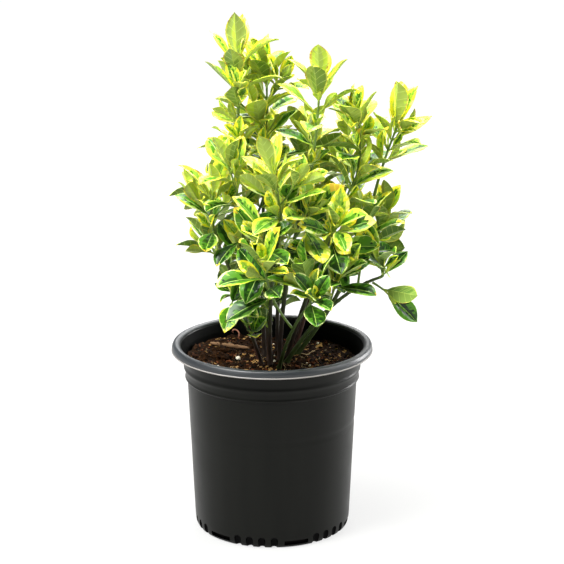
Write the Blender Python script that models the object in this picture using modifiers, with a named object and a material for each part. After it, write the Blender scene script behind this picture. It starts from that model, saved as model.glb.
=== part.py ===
# Variegated Japanese spindle (Euonymus japonicus) in a two gallon nursery pot.
# Metres, +Z up. The origin is at the middle of the pot's flat underside.
# The front, where the low right branch shows, faces -Y.

import math
import random
from collections import namedtuple

import bmesh
import bpy
from mathutils import Matrix, Vector
from mathutils.bvhtree import BVHTree

MM = 0.001
GAP = 0.3 * MM
UP = Vector((0.0, 0.0, 1.0))
PLANT_NAME = "japanese_spindle"

# Pot: nine inches over the rim, eight and a half tall, seven across the foot (mm)
POT_HEIGHT = 216.0
RIM_RADIUS = 114.0
CREST_RADIUS = 109.0
MOUTH_RADIUS = 103.8
LIP_HEIGHT = 207.3
COLLAR_RADIUS = 101.4
STEP_HEIGHT = 175.0
STEP_RADIUS = 98.4
WALL_TOP_RADIUS = 96.3
FOOT_RADIUS = 88.9
FOOT_HEIGHT = 12.0
UNDERSIDE_RADIUS = 84.5
WALL = 1.8
FOOT_WALL = 3.8
FLOOR = 2.6
TURNED_SIDES = 48

# Foot pattern, six times round the pot: four flutes and one drain slot (mm, degrees)
FOOT_REPEATS = 6
FLUTES = 4
FLUTE_PITCH = 9.2
FLUTE_WIDTH = 7.0
FLUTE_DEPTH = 2.4
FLUTE_TOP = 12.5
FLUTE_MIDDLE = -12.1
SLOT_MIDDLE = 18.3
SLOT_WIDTH = 28.0
SLOT_BOTTOM = 3.4
SLOT_TOP = 8.6
CUTTER_REACH = 8.0

# Soil: level round the stems, uneven further out (mm)
SOIL_LEVEL = 193.0
SOIL_RINGS = (50.0, 74.0)
SOIL_SWELL = 2.6
SOIL_LEFT_RISE = 6.0

# Stems: foot x y, knee x y z, top x y z, radius at the foot and the top (mm)
STEMS = {
    "stem_leader": ((-3, 4), (-6, 2, 300), (-25, 0, 385), 3.6, 2.3),
    "stem_back_left": ((-9, 22), (-14, 40, 310), (-8, 46, 400), 3.0, 1.9),
    "stem_centre": ((8, 2), (12, 0, 290), (34, -9, 375), 3.2, 1.9),
    "stem_front": ((-2, -18), (-4, -28, 290), (7, -50, 345), 2.8, 1.8),
    "stem_right_centre": ((17, 15), (44, 10, 290), (84, 6, 375), 3.2, 1.9),
    "stem_right": ((28, 24), (92, 24, 275), (113, 24, 372), 3.2, 1.9),
    "branch_low_right": ((16, -8), (63, -16, 276), (120, -22, 297), 3.0, 1.8),
    "stem_left": ((-15, 8), (-34, 4, 270), (-60, 0, 330), 2.8, 1.8),
    "stem_low_left": ((-12, -12), (-24, -30, 245), (-44, -42, 268), 2.4, 1.6),
    "stem_low_front": ((8, -26), (18, -52, 245), (40, -78, 280), 2.4, 1.6),
    "stem_back": ((6, 38), (6, 62, 290), (8, 84, 340), 2.8, 1.8),
    "stem_back_right": ((26, 42), (52, 60, 280), (76, 74, 345), 2.8, 1.8),
}
FLARE = 0.5
FLARE_HEIGHT = 9.0
STEM_RINGS = 8
RINGS_TOWARDS_FOOT = 1.6

# Leafy shoots, each a mass of its own: stem it grows on, place along that stem,
# tip x y z, leaf pairs, length of a top leaf and of a grown leaf (mm),
# turn of the first pair (degrees), side twigs, seed
SHOOTS = {
    "leader": ("stem_leader", 1.0, (-37, 5, 531), 5, 52, 46, 80, 2, 223),
    "centre": ("stem_centre", 1.0, (52, -11, 508), 7, 44, 48, 80, 0, 407),
    "right": ("stem_right", 1.0, (138, 9, 460), 5, 54, 46, 35, 0, 165),
    "front": ("stem_front", 1.0, (3, -58, 417), 5, 46, 50, 65, 2, 44),
    "right_centre": ("stem_right_centre", 1.0, (94, -4, 477), 8, 34, 48, 55, 0, 178),
    "right_front": ("stem_right_centre", 0.62, (70, -63, 364), 8, 44, 48, 10, 0, 224),
    "low_front": ("stem_low_front", 1.0, (37, -83, 310), 6, 46, 50, 10, 1, 162),
    "low_right_tip": ("branch_low_right", 1.0, (118, -28, 314), 7, 46, 36, 50, 2, 372),
    "low_right_hanging": ("branch_low_right", 0.93, (124, -30, 285), 1, 40, 44, 40, 0, 94),
    "low_right_middle": ("branch_low_right", 0.8, (105, -12, 368), 6, 26, 46, 85, 0, 120),
    "low_right_front": ("branch_low_right", 0.5, (76, -63, 314), 5, 46, 44, 60, 0, 106),
    "left_front": ("stem_front", 0.74, (-7, -78, 366), 9, 46, 50, 50, 0, 261),
    "left": ("stem_left", 1.0, (-65, -12, 388), 6, 46, 50, 75, 2, 330),
    "low_left": ("stem_low_left", 1.0, (-41, -54, 275), 4, 36, 50, 5, 0, 101),
    "bright_back": ("stem_back_left", 1.0, (-6, 40, 514), 5, 46, 50, 55, 2, 542),
    "middle": ("stem_centre", 0.8, (41, -50, 380), 5, 32, 50, 25, 0, 90),
    "low_middle": ("stem_low_front", 0.6, (-8, -100, 328), 5, 46, 50, 20, 0, 321),
    "left_inner": ("stem_left", 0.72, (-47, -36, 426), 9, 34, 50, 40, 0, 302),
    "leader_side": ("stem_leader", 0.86, (-17, 23, 477), 6, 38, 50, 80, 1, 206),
    "right_inner": ("stem_right_centre", 0.84, (94, -14, 412), 5, 46, 48, 25, 0, 322),
    "centre_back": ("stem_centre", 0.9, (44, 54, 449), 6, 30, 48, 35, 0, 93),
    "right_side": ("stem_right", 0.66, (126, 33, 352), 5, 44, 42, 40, 0, 285),
    "left_side": ("stem_left", 0.5, (-72, 42, 323), 3, 36, 48, 35, 1, 472),
    "back_middle": ("stem_back", 1.0, (-17, 98, 431), 6, 46, 50, 40, 0, 492),
    "back_right": ("stem_back_right", 1.0, (86, 73, 440), 6, 42, 50, 5, 2, 341),
    "back_left": ("stem_back_left", 0.72, (-69, 80, 371), 5, 44, 50, 50, 0, 124),
    "back_low_left": ("stem_back_left", 0.5, (-38, 71, 290), 6, 36, 44, 85, 1, 81),
    "back_low_middle": ("stem_back", 0.66, (21, 106, 313), 5, 46, 50, 75, 0, 70),
    "back_low_right": ("stem_back_right", 0.7, (116, 70, 310), 3, 42, 48, 10, 2, 444),
    "back_upper_left": ("stem_back_left", 0.86, (-40, 88, 428), 5, 42, 48, 20, 0, 612),
    "back_upper_right": ("stem_back_right", 0.84, (50, 104, 396), 5, 42, 48, 60, 0, 880),
}

# Twigs (mm; shares of a length; degrees for the turns)
TWIG_THICK = 1.5
TWIG_THIN = 1.0
TWIG_RINGS = 4
TWIG_KNEE = 0.45
LAUNCH = math.radians(52)
SIDE_TWIG_THICK = 1.1
SIDE_TWIG_THIN = 0.8
SIDE_TWIG_RINGS = 2
SIDE_TWIG_PAIRS = 2
SIDE_TWIG_LENGTHS = (20, 34)
SIDE_TWIG_OPENING = 0.85
SIDE_TWIG_KNEE = 0.6
SIDE_TWIG_RISE = 0.6
SIDE_TWIG_TURN = (45, 60)
SIDE_TWIG_SEED = 101
FIRST_SIDE_TWIG = 3
SIDE_LEAF_SHARE = 0.82
SIDE_TOP_LEAF_SHARE = 0.8

# Leaf pairs: distance below the tip as a parabola of the pair's number (mm), how far
# each pair opens from the twig (degrees), and its size against a grown leaf
PAIR_DISTANCES = (1.2, 3.4, 1.75)
LOWEST_PAIR = 0.96
LOWEST_SIDE_TWIG = 0.93
OPEN_ANGLES = (20, 33, 44, 53, 60, 64, 67, 69, 70, 70, 70)
LOWER_LEAF_SHARES = (1.0, 1.0, 1.0, 1.0, 1.0, 0.95, 0.92, 0.9, 0.9, 0.9, 0.9)
GROWN_PAIR = 2
HANGING_PAIR = 4

# How a leaf may differ from the next one (degrees; shares of its length)
OPEN_SPREAD = 9
TURN_SPREAD = 13
SIDE_TURN_SPREAD = 15
ROLL_SPREAD = 16
LEAF_LIFT = 0.12
LEAF_SAG = 0.6
FACE_TO_SKY = 0.35
FACE_LEAN = 0.1
LENGTH_SHARES = (0.9, 1.08)
WIDTH_SHARES = (0.47, 0.56)
CURLS = (-6, 42)
TOP_CURLS = (-14, 22)
FOLDS = (9, 22)
TOP_FOLD = 8

# The simple leaf: thickness (mm), place and half width of its sections
LEAF_THICKNESS = 1.2
LEAF_SECTIONS = ((0.38, 0.44), (0.75, 0.45))
BLADE_START = 0.14

# Room kept round leaves and twigs (mm)
CLEARANCE = 0.7
SOIL_CLEARANCE = 3.0
RIM_CLEARANCE = 4.0

# Distances to weld slivers by after a union, the first that leaves the solid closed (mm)
WELDS = (0.03, 0.01, 0.002, 0.0)

# Tries at a leaf that would touch something: pitch and roll (degrees), size
TRIES = (
    (0, 0, 1.0), (-12, 0, 1.0), (12, 0, 1.0), (0, 20, 1.0), (0, -20, 1.0),
    (-20, 12, 0.92), (16, -24, 0.88), (-6, 30, 0.8), (10, -34, 0.74),
)

Spray = namedtuple("Spray", "limb pairs top_leaf leaf turn seed")
Leaf = namedtuple("Leaf", "root along face length width curl fold pair")


def mm(*values):
    """A vector given in millimetres."""
    return Vector(values) * MM


class Limb:
    """A round limb that tapers along one smooth curve from its root to its tip."""

    def __init__(self, root, knee, tip, thick, thin, rings, towards_foot=1.0):
        self.root = root
        self.knee = knee
        self.tip = tip
        self.thick = thick
        self.thin = thin
        self.places = [(i / rings) ** towards_foot for i in range(rings + 1)]
        steps = [self.at(i / 16) for i in range(17)]
        self.length = sum((b - a).length for a, b in zip(steps, steps[1:]))

    def at(self, t):
        return self.root * (1 - t) ** 2 + self.knee * (2 * t * (1 - t)) + self.tip * t ** 2

    def as_built(self, t):
        """The middle at a place along the straight lengths that the solid is made of."""
        for a, b in zip(self.places, self.places[1:]):
            if t <= b:
                return self.at(a).lerp(self.at(b), (t - a) / (b - a))
        return self.tip

    def heading(self, t):
        return ((self.knee - self.root) * (1 - t) + (self.tip - self.knee) * t).normalized()

    def radius(self, t):
        return self.thick + (self.thin - self.thick) * t


def make_stems():
    """The bare stems and boughs, by name."""
    stems = {}
    for name, (foot, knee, top, thick, thin) in STEMS.items():
        root = mm(*foot, SOIL_LEVEL)
        rings = (STEM_RINGS, RINGS_TOWARDS_FOOT)
        stems[name] = Limb(root, mm(*knee), mm(*top), thick * MM, thin * MM, *rings)
    return stems


def shoot_axis(stem, place, tip):
    """The stem inside a mass, from 0.3 mm clear of its bough to the tip."""
    heading = stem.heading(place)
    if place >= 1.0:
        root = stem.tip + heading * GAP
        launch = heading
        thick = stem.thin
    else:
        outward = tip - stem.as_built(place)
        outward -= heading * outward.dot(heading)
        outward.normalize()
        launch = heading * math.cos(LAUNCH) + outward * math.sin(LAUNCH)
        thick = TWIG_THICK * MM
        root = stem.as_built(place) + outward * (stem.radius(place) + GAP + thick * math.cos(LAUNCH))
    knee = root + launch * (tip - root).length * TWIG_KNEE
    return Limb(root, knee, tip, thick, TWIG_THIN * MM, TWIG_RINGS)


def across(heading, turn):
    """A direction square to the heading, turned about it in degrees."""
    side = heading.cross(Vector((0.0, -1.0, 0.0)))
    if side.length < 0.2:
        side = heading.cross(Vector((1.0, 0.0, 0.0)))
    return Matrix.Rotation(math.radians(turn), 3, heading) @ side.normalized()


def below_tip(pair):
    """Distance of a leaf pair below its twig's tip: crowded first, then apart."""
    first, step, growth = PAIR_DISTANCES
    return (first + step * pair + growth * pair * pair) * MM


def shoot_sprays(name, stems):
    """A shoot's main stem and the side twigs that its seed gives it."""
    stem, place, tip, pairs, top_leaf, leaf, turn, side_twigs, seed = SHOOTS[name]
    axis = shoot_axis(stems[stem], place, mm(*tip))
    sprays = [Spray(axis, pairs, top_leaf * MM, leaf * MM, turn, seed)]
    draw = random.Random(seed * SIDE_TWIG_SEED)
    lowest = axis.length * LOWEST_SIDE_TWIG
    nodes = [k for k in range(FIRST_SIDE_TWIG, pairs) if below_tip(k) < lowest]
    for i in range(min(side_twigs, len(nodes))):
        node = nodes[(i * 2 + seed) % len(nodes)]
        t = 1 - below_tip(node) / axis.length
        heading = axis.heading(t)
        around = turn + 90 * node + 180 * (i % 2) + draw.uniform(-SIDE_TURN_SPREAD, SIDE_TURN_SPREAD)
        out = across(heading, around)
        launch = heading * math.cos(SIDE_TWIG_OPENING) + out * math.sin(SIDE_TWIG_OPENING)
        reach = draw.uniform(*SIDE_TWIG_LENGTHS) * MM
        root = axis.at(t)
        knee = root + launch * reach * SIDE_TWIG_KNEE
        end = knee + (launch + UP * SIDE_TWIG_RISE).normalized() * reach * (1 - SIDE_TWIG_KNEE)
        twig = Limb(root, knee, end, SIDE_TWIG_THICK * MM, SIDE_TWIG_THIN * MM, SIDE_TWIG_RINGS)
        size = leaf * SIDE_LEAF_SHARE * MM
        first, step = SIDE_TWIG_TURN
        turned_by = turn + first + step * i
        top = size * SIDE_TOP_LEAF_SHARE
        sprays.append(Spray(twig, SIDE_TWIG_PAIRS, top, size, turned_by, seed * 10 + i))
    return sprays


def leaf_places(spray):
    """Pair number, side number, root, heading and outward direction of each leaf."""
    limb = spray.limb
    for pair in range(spray.pairs):
        if below_tip(pair) > limb.length * LOWEST_PAIR:
            return
        t = 1 - below_tip(pair) / limb.length
        heading = limb.heading(t)
        for side in range(2):
            yield pair, side, limb.at(t), heading, across(heading, spray.turn + 90 * pair + 180 * side)


def make_leaf(spray, place, change):
    """One leaf of an opposite pair, with the small differences its seed gives it."""
    pair, side, root, heading, out = place
    pitch, turn, share = change
    draw = random.Random(f"{spray.seed}-{pair}-{side}")
    tilt = math.radians(OPEN_ANGLES[pair] + draw.uniform(-OPEN_SPREAD, OPEN_SPREAD) + pitch)
    around = math.radians(draw.uniform(-TURN_SPREAD, TURN_SPREAD) + turn)
    out = Matrix.Rotation(around, 3, heading) @ out
    sag = draw.uniform(-LEAF_LIFT, LEAF_SAG) * min(pair / HANGING_PAIR, 1.0)
    along = (heading * math.cos(tilt) + out * math.sin(tilt) + UP * (LEAF_LIFT - sag)).normalized()
    face = (heading - along * heading.dot(along)).normalized()
    face += UP * FACE_TO_SKY + out * draw.uniform(-FACE_LEAN, FACE_LEAN)
    face = (face - along * face.dot(along)).normalized()
    face = Matrix.Rotation(math.radians(draw.uniform(-ROLL_SPREAD, ROLL_SPREAD)), 3, along) @ face
    grown = min(pair / GROWN_PAIR, 1.0)
    size = spray.top_leaf + (spray.leaf - spray.top_leaf) * grown
    length = size * LOWER_LEAF_SHARES[pair] * draw.uniform(*LENGTH_SHARES) * share
    width = length * draw.uniform(*WIDTH_SHARES)
    curl = draw.uniform(*CURLS) if pair > 0 else draw.uniform(*TOP_CURLS)
    fold = draw.uniform(*FOLDS) + (TOP_FOLD if pair < GROWN_PAIR else 0)
    return Leaf(root, along, face, length, width, math.radians(curl), math.radians(fold), pair)


def midrib(leaf, u):
    """Place, heading and face of the midrib at a share of the leaf's length."""
    bend = leaf.curl if abs(leaf.curl) > 0.001 else 0.001
    angle = bend * u
    run = math.sin(angle) / bend * leaf.length
    drop = (1 - math.cos(angle)) / bend * leaf.length
    spot = leaf.root + leaf.along * run - leaf.face * drop
    heading = leaf.along * math.cos(angle) - leaf.face * math.sin(angle)
    face = leaf.face * math.cos(angle) + leaf.along * math.sin(angle)
    return spot, heading, face


def leaf_solid(leaf, start=0.0, extra=0.0):
    """Points and faces of the simple leaf: its root, four-point sections and its tip."""
    points = [midrib(leaf, start)[0]]
    for u, half in LEAF_SECTIONS:
        spot, heading, face = midrib(leaf, u)
        side = heading.cross(face)
        reach = half * leaf.width + extra
        edge = side * (reach * math.cos(leaf.fold))
        lift = face * (reach * math.sin(leaf.fold))
        thick = face * (LEAF_THICKNESS * MM / 2 + extra)
        points += [spot + edge + lift, spot + thick, spot - edge + lift, spot - thick]
    spot, heading, face = midrib(leaf, 1.0)
    points.append(spot + heading * extra)
    tip = len(points) - 1
    faces = []
    for i in range(4):
        j = (i + 1) % 4
        faces += [(0, 1 + j, 1 + i), (1 + i, 1 + j, 5 + j), (1 + i, 5 + j, 5 + i), (5 + i, 5 + j, tip)]
    return points, faces


def limb_solid(limb, extra, sides=6):
    """Points and faces of a limb's surface, a little fuller by extra."""
    points = []
    for t in limb.places:
        radius = limb.radius(t) + extra
        for j in range(sides):
            points.append(limb.at(t) + across(limb.heading(t), 360 * j / sides) * radius)
    faces = []
    for i in range(len(limb.places) - 1):
        for j in range(sides):
            a = i * sides + j
            b = i * sides + (j + 1) % sides
            faces.append((a, b, b + sides, a + sides))
    return points, faces


class Crowd:
    """All that is in place already, so that the next twig or leaf keeps clear of it."""

    def __init__(self):
        self.members = []

    def add(self, mass, spray, kind, points, faces):
        centre = sum(points, Vector()) / len(points)
        reach = max((p - centre).length for p in points)
        tree = BVHTree.FromPolygons(points, faces)
        self.members.append((mass, spray, kind, centre, reach, tree))

    def touching(self, points, faces, wanted):
        """Whether a shape touches a member that wanted(mass, spray, kind) picks."""
        centre = sum(points, Vector()) / len(points)
        reach = max((p - centre).length for p in points)
        tree = None
        for mass, spray, kind, other_centre, other_reach, other in self.members:
            if (centre - other_centre).length > reach + other_reach:
                continue
            if not wanted(mass, spray, kind):
                continue
            tree = tree or BVHTree.FromPolygons(points, faces)
            if tree.overlap(other):
                return True
        return False


def leaves_space(points):
    """Whether a shape would dip into the soil or reach the pot's rim."""
    for p in points:
        if p.z < (SOIL_LEVEL + SOIL_LEFT_RISE + SOIL_CLEARANCE) * MM:
            return True
        near_rim = math.hypot(p.x, p.y) > (MOUTH_RADIUS - RIM_CLEARANCE) * MM
        if near_rim and p.z < (POT_HEIGHT + RIM_CLEARANCE) * MM:
            return True
    return False


def grow_plant():
    """Stems, and each shoot's sprays with the leaves that found room."""
    stems = make_stems()
    crowd = Crowd()
    for name, limb in stems.items():
        crowd.add(name, 0, "stem", *limb_solid(limb, 0.0))
    sprays = {name: shoot_sprays(name, stems) for name in SHOOTS}
    for name in SHOOTS:
        crowd.add(name, 0, "twig", *limb_solid(sprays[name][0].limb, 0.0))
    plant = {}
    for name in SHOOTS:
        grown = []
        for number, spray in enumerate(sprays[name]):
            if number > 0 and not twig_has_room(crowd, name, spray):
                continue
            if number > 0:
                crowd.add(name, number, "twig", *limb_solid(spray.limb, 0.0))
            leaves = [find_room(crowd, name, number, spray, place) for place in leaf_places(spray)]
            grown.append((spray, [leaf for leaf in leaves if leaf]))
        plant[name] = grown
    return stems, plant


def twig_has_room(crowd, name, spray):
    points, faces = limb_solid(spray.limb, CLEARANCE * MM)
    if leaves_space(points):
        return False
    return not crowd.touching(points, faces, lambda mass, number, kind: mass != name and kind != "blade")


def find_room(crowd, name, number, spray, place):
    """The first try at a leaf that touches nothing, or else only its own mass's leaves."""
    def foreign(mass, other, kind):
        return kind != "blade" and (mass != name or (kind == "twig" and other != number))

    def sister(mass, other, kind):
        return mass == name and kind == "blade"

    spare = None
    for change in TRIES:
        leaf = make_leaf(spray, place, change)
        points, faces = leaf_solid(leaf, 0.0, CLEARANCE * MM)
        if leaves_space(points) or crowd.touching(points, faces, foreign):
            continue
        spare = spare or leaf
        if not crowd.touching(*leaf_solid(leaf, BLADE_START), sister):
            spare = leaf
            break
    if spare:
        crowd.add(name, number, "leaf", *leaf_solid(spare))
        crowd.add(name, number, "blade", *leaf_solid(spare, BLADE_START))
    return spare


def make_material(name, colour, roughness, metallic=0.0):
    """A plain finish from a linear colour."""
    material = bpy.data.materials.new(name)
    material.use_nodes = True
    shader = material.node_tree.nodes["Principled BSDF"]
    shader.inputs["Base Color"].default_value = (*colour, 1.0)
    shader.inputs["Roughness"].default_value = roughness
    shader.inputs["Metallic"].default_value = metallic
    return material


def add_object(name, mesh, collection, material=None):
    obj = bpy.data.objects.new(name, mesh)
    collection.objects.link(obj)
    if material:
        mesh.materials.clear()
        mesh.materials.append(material)
    return obj


def mesh_from(name, points, faces):
    """A closed mesh with its faces turned outwards."""
    mesh = bpy.data.meshes.new(name)
    shape = bmesh.new()
    corners = [shape.verts.new(p) for p in points]
    for face in faces:
        shape.faces.new([corners[i] for i in face])
    bmesh.ops.recalc_face_normals(shape, faces=shape.faces)
    shape.to_mesh(mesh)
    shape.free()
    return mesh


def evaluated_mesh(obj):
    """The object's mesh with its modifiers applied."""
    bpy.context.view_layer.update()
    graph = bpy.context.evaluated_depsgraph_get()
    return bpy.data.meshes.new_from_object(obj.evaluated_get(graph))


def three_sided_section(collection):
    """A guide curve that gives the leafy twigs three sides."""
    curve = bpy.data.curves.new("twig_section", "CURVE")
    spline = curve.splines.new("POLY")
    spline.points.add(2)
    for i, point in enumerate(spline.points):
        angle = math.radians(120 * i)
        point.co = (math.cos(angle), math.sin(angle), 0.0, 1.0)
    spline.use_cyclic_u = True
    guide = add_object("twig_section", curve, collection)
    guide.hide_render = True
    guide.display_type = "WIRE"
    return guide


def limb_mesh(name, points, radii, collection, section=None):
    """A tapering tube with welded caps, made from a bevelled curve."""
    curve = bpy.data.curves.new(name, "CURVE")
    curve.dimensions = "3D"
    if section:
        curve.bevel_mode = "OBJECT"
        curve.bevel_object = section
    else:
        curve.bevel_depth = 1.0
        curve.bevel_resolution = 1
    curve.use_fill_caps = True
    spline = curve.splines.new("POLY")
    spline.points.add(len(points) - 1)
    for point, place, radius in zip(spline.points, points, radii):
        point.co = (*place, 1.0)
        point.radius = radius
    guide = add_object(name + "_curve", curve, collection)
    mesh = evaluated_mesh(guide)
    bpy.data.objects.remove(guide)
    bpy.data.curves.remove(curve)
    shape = bmesh.new()
    shape.from_mesh(mesh)
    bmesh.ops.remove_doubles(shape, verts=shape.verts, dist=0.01 * MM)
    bmesh.ops.recalc_face_normals(shape, faces=shape.faces)
    shape.to_mesh(mesh)
    shape.free()
    return mesh


def build_stem(name, limb, collection, material):
    """A bare stem with a flared foot, cut flat just clear of the soil."""
    points = [limb.root - limb.heading(0) * 2 * limb.thick]
    radii = [limb.thick * (1 + FLARE)]
    for t in limb.places:
        height = (limb.at(t).z - limb.root.z) / (FLARE_HEIGHT * MM)
        points.append(limb.at(t))
        radii.append(limb.radius(t) * (1 + FLARE * max(0.0, 1 - height) ** 2))
    mesh = limb_mesh(name, points, radii, collection)
    shape = bmesh.new()
    shape.from_mesh(mesh)
    everything = list(shape.verts) + list(shape.edges) + list(shape.faces)
    foot = Vector((0, 0, SOIL_LEVEL * MM + GAP))
    bmesh.ops.bisect_plane(shape, geom=everything, plane_co=foot, plane_no=UP, clear_inner=True)
    rim = [edge for edge in shape.edges if edge.is_boundary]
    bmesh.ops.edgenet_fill(shape, edges=rim)
    bmesh.ops.recalc_face_normals(shape, faces=shape.faces)
    shape.to_mesh(mesh)
    shape.free()
    mesh.shade_smooth()
    return add_object(name, mesh, collection, material)


def build_mass(name, grown, section, collection, material):
    """One leafy shoot: its stem, side twigs and leaves fused by one union."""
    parts = bpy.data.collections.new(name + "_parts")
    bpy.context.scene.collection.children.link(parts)
    body = None
    for number, (spray, leaves) in enumerate(grown):
        limb = spray.limb
        points = [limb.at(t) for t in limb.places]
        radii = [limb.radius(t) for t in limb.places]
        mesh = limb_mesh(name, points, radii, parts, section)
        if number == 0:
            body = add_object(name, mesh, collection, material)
        else:
            add_object(f"{name}_twig_{number}", mesh, parts)
        for count, leaf in enumerate(leaves):
            solid = mesh_from(f"{name}_leaf", *leaf_solid(leaf))
            add_object(f"{name}_leaf_{number}_{count}", solid, parts)
    fuse(body, parts)
    return body


def fuse(body, parts):
    """Join a collection of solids to a body with one union, and remove them."""
    finish = body.data.materials[0]
    for solver in ("EXACT", "MANIFOLD"):
        union = body.modifiers.new("union", "BOOLEAN")
        union.operation = "UNION"
        union.operand_type = "COLLECTION"
        union.collection = parts
        union.solver = solver
        union.use_self = solver == "EXACT"
        joined = evaluated_mesh(body)
        body.modifiers.remove(union)
        mesh = welded(joined)
        if is_closed(mesh):
            break
    mesh.materials.clear()
    mesh.materials.append(finish)
    body.data = mesh
    for part in list(parts.objects):
        bpy.data.objects.remove(part)
    bpy.data.collections.remove(parts)


def welded(joined):
    """The joined mesh with its slivers welded, by the first distance that keeps it closed."""
    for distance in WELDS:
        shape = bmesh.new()
        shape.from_mesh(joined)
        if distance > 0:
            bmesh.ops.remove_doubles(shape, verts=shape.verts, dist=distance * MM)
            bmesh.ops.dissolve_degenerate(shape, edges=shape.edges, dist=distance * MM)
        bmesh.ops.triangulate(shape, faces=shape.faces)
        drop_scraps(shape)
        mesh = joined.copy()
        shape.to_mesh(mesh)
        shape.free()
        if is_closed(mesh):
            break
    return mesh


def drop_scraps(shape):
    """Delete every piece but the one with the most faces."""
    unseen = set(shape.faces)
    pieces = []
    while unseen:
        piece = [unseen.pop()]
        for face in piece:
            for edge in face.edges:
                for near in edge.link_faces:
                    if near in unseen:
                        unseen.remove(near)
                        piece.append(near)
        pieces.append(piece)
    pieces.sort(key=len)
    scraps = [face for piece in pieces[:-1] for face in piece]
    bmesh.ops.delete(shape, geom=scraps, context="FACES")


def is_closed(mesh):
    shape = bmesh.new()
    shape.from_mesh(mesh)
    closed = all(len(edge.link_faces) == 2 for edge in shape.edges)
    shape.free()
    return closed


def turned(name, profile, collection, material):
    """A solid turned from a closed profile of radius and height (mm)."""
    mesh = bpy.data.meshes.new(name)
    shape = bmesh.new()
    ring = [shape.verts.new((radius * MM, 0, height * MM)) for radius, height in profile]
    for a, b in zip(ring, ring[1:]):
        shape.edges.new((a, b))
    on_axis = profile[0][0] == 0 and profile[-1][0] == 0
    if not on_axis:
        shape.edges.new((ring[-1], ring[0]))
    shape.to_mesh(mesh)
    shape.free()
    obj = add_object(name, mesh, collection, material)
    screw = obj.modifiers.new("turn", "SCREW")
    screw.axis = "Z"
    screw.steps = TURNED_SIDES
    screw.render_steps = TURNED_SIDES
    screw.use_merge_vertices = True
    screw.merge_threshold = 0.01 * MM
    screw.use_smooth_shade = True
    return obj


def build_pot(collection, cutters, material):
    """Thin nursery pot: rolled rim, collar, tapering wall and fluted foot."""
    outside = [
        (MOUTH_RADIUS, POT_HEIGHT - 2.8),
        (CREST_RADIUS - 2.6, POT_HEIGHT - 0.7),
        (CREST_RADIUS, POT_HEIGHT),
        (RIM_RADIUS - 1.7, POT_HEIGHT - 1.3),
        (RIM_RADIUS, POT_HEIGHT - 4.8),
        (RIM_RADIUS - 0.4, LIP_HEIGHT),
        (RIM_RADIUS - 1.8, LIP_HEIGHT),
        (RIM_RADIUS - 2.2, LIP_HEIGHT + 3.4),
        (CREST_RADIUS - 0.6, POT_HEIGHT - 2.2),
        (MOUTH_RADIUS + 1.4, POT_HEIGHT - 4.4),
        (COLLAR_RADIUS + 0.5, LIP_HEIGHT - 4.3),
        (STEP_RADIUS, STEP_HEIGHT + 2.4),
        (STEP_RADIUS - 0.2, STEP_HEIGHT + 0.6),
        (WALL_TOP_RADIUS, STEP_HEIGHT - 0.8),
        (FOOT_RADIUS, FOOT_HEIGHT),
        (FOOT_RADIUS - 0.7, 5.0),
        (FOOT_RADIUS - 2.2, 1.4),
        (UNDERSIDE_RADIUS, 0.0),
        (0.0, 0.0),
    ]
    inside = [
        (0.0, FLOOR),
        (FOOT_RADIUS - FOOT_WALL - 1.0, FLOOR),
        (FOOT_RADIUS - FOOT_WALL, FOOT_HEIGHT + 2.0),
        (FOOT_RADIUS - WALL, FOOT_HEIGHT + 6.0),
        (WALL_TOP_RADIUS - WALL, STEP_HEIGHT - 0.8),
        (STEP_RADIUS - WALL, STEP_HEIGHT + 2.4),
        (COLLAR_RADIUS - WALL + 0.5, LIP_HEIGHT - 4.3),
    ]
    pot = turned("pot", outside + inside, collection, material)
    cut_foot(pot, cutters)


def build_cutter(name, width, depth, bottom, top, radius, angle, cutters):
    """A block across the pot's wall, centred on an angle from the front."""
    bpy.ops.mesh.primitive_cube_add(size=1)
    block = bpy.context.object
    block.name = name
    block.data.name = name
    turn = Matrix.Rotation(math.radians(angle), 4, "Z")
    place = Matrix.Translation(mm(0, -radius, (bottom + top) / 2))
    size = Matrix.Diagonal(mm(width, depth, top - bottom).to_4d())
    block.data.transform(turn @ place @ size)
    for old in list(block.users_collection):
        old.objects.unlink(block)
    cutters.objects.link(block)
    block.hide_render = True
    block.display_type = "WIRE"


def cut_foot(pot, cutters):
    """Cut the flutes and drain slots round the pot's foot."""
    sector = 360 / FOOT_REPEATS
    for repeat in range(FOOT_REPEATS):
        for i in range(FLUTES):
            angle = FLUTE_MIDDLE + (i - (FLUTES - 1) / 2) * FLUTE_PITCH + sector * repeat
            radius = FOOT_RADIUS - FLUTE_DEPTH + CUTTER_REACH / 2
            build_cutter("flute", FLUTE_WIDTH, CUTTER_REACH, -CUTTER_REACH, FLUTE_TOP, radius, angle, cutters)
        angle = SLOT_MIDDLE + sector * repeat
        build_cutter("slot", SLOT_WIDTH, CUTTER_REACH * 2, SLOT_BOTTOM, SLOT_TOP, FOOT_RADIUS, angle, cutters)
    cut = pot.modifiers.new("foot", "BOOLEAN")
    cut.operation = "DIFFERENCE"
    cut.operand_type = "COLLECTION"
    cut.collection = cutters
    cut.solver = "EXACT"


def soil_height(x, y):
    """Height of the soil's surface in mm: level in the middle, uneven towards the wall."""
    radius = math.hypot(x, y)
    share = max(0.0, (radius - SOIL_RINGS[0]) / (WALL_TOP_RADIUS - SOIL_RINGS[0]))
    angle = math.atan2(y, x)
    swell = math.sin(3 * angle + 0.6) + 0.7 * math.sin(5 * angle + radius / 9)
    left = max(0.0, -math.cos(angle)) * SOIL_LEFT_RISE
    return SOIL_LEVEL + share * (left + SOIL_SWELL * swell * 0.6)


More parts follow.
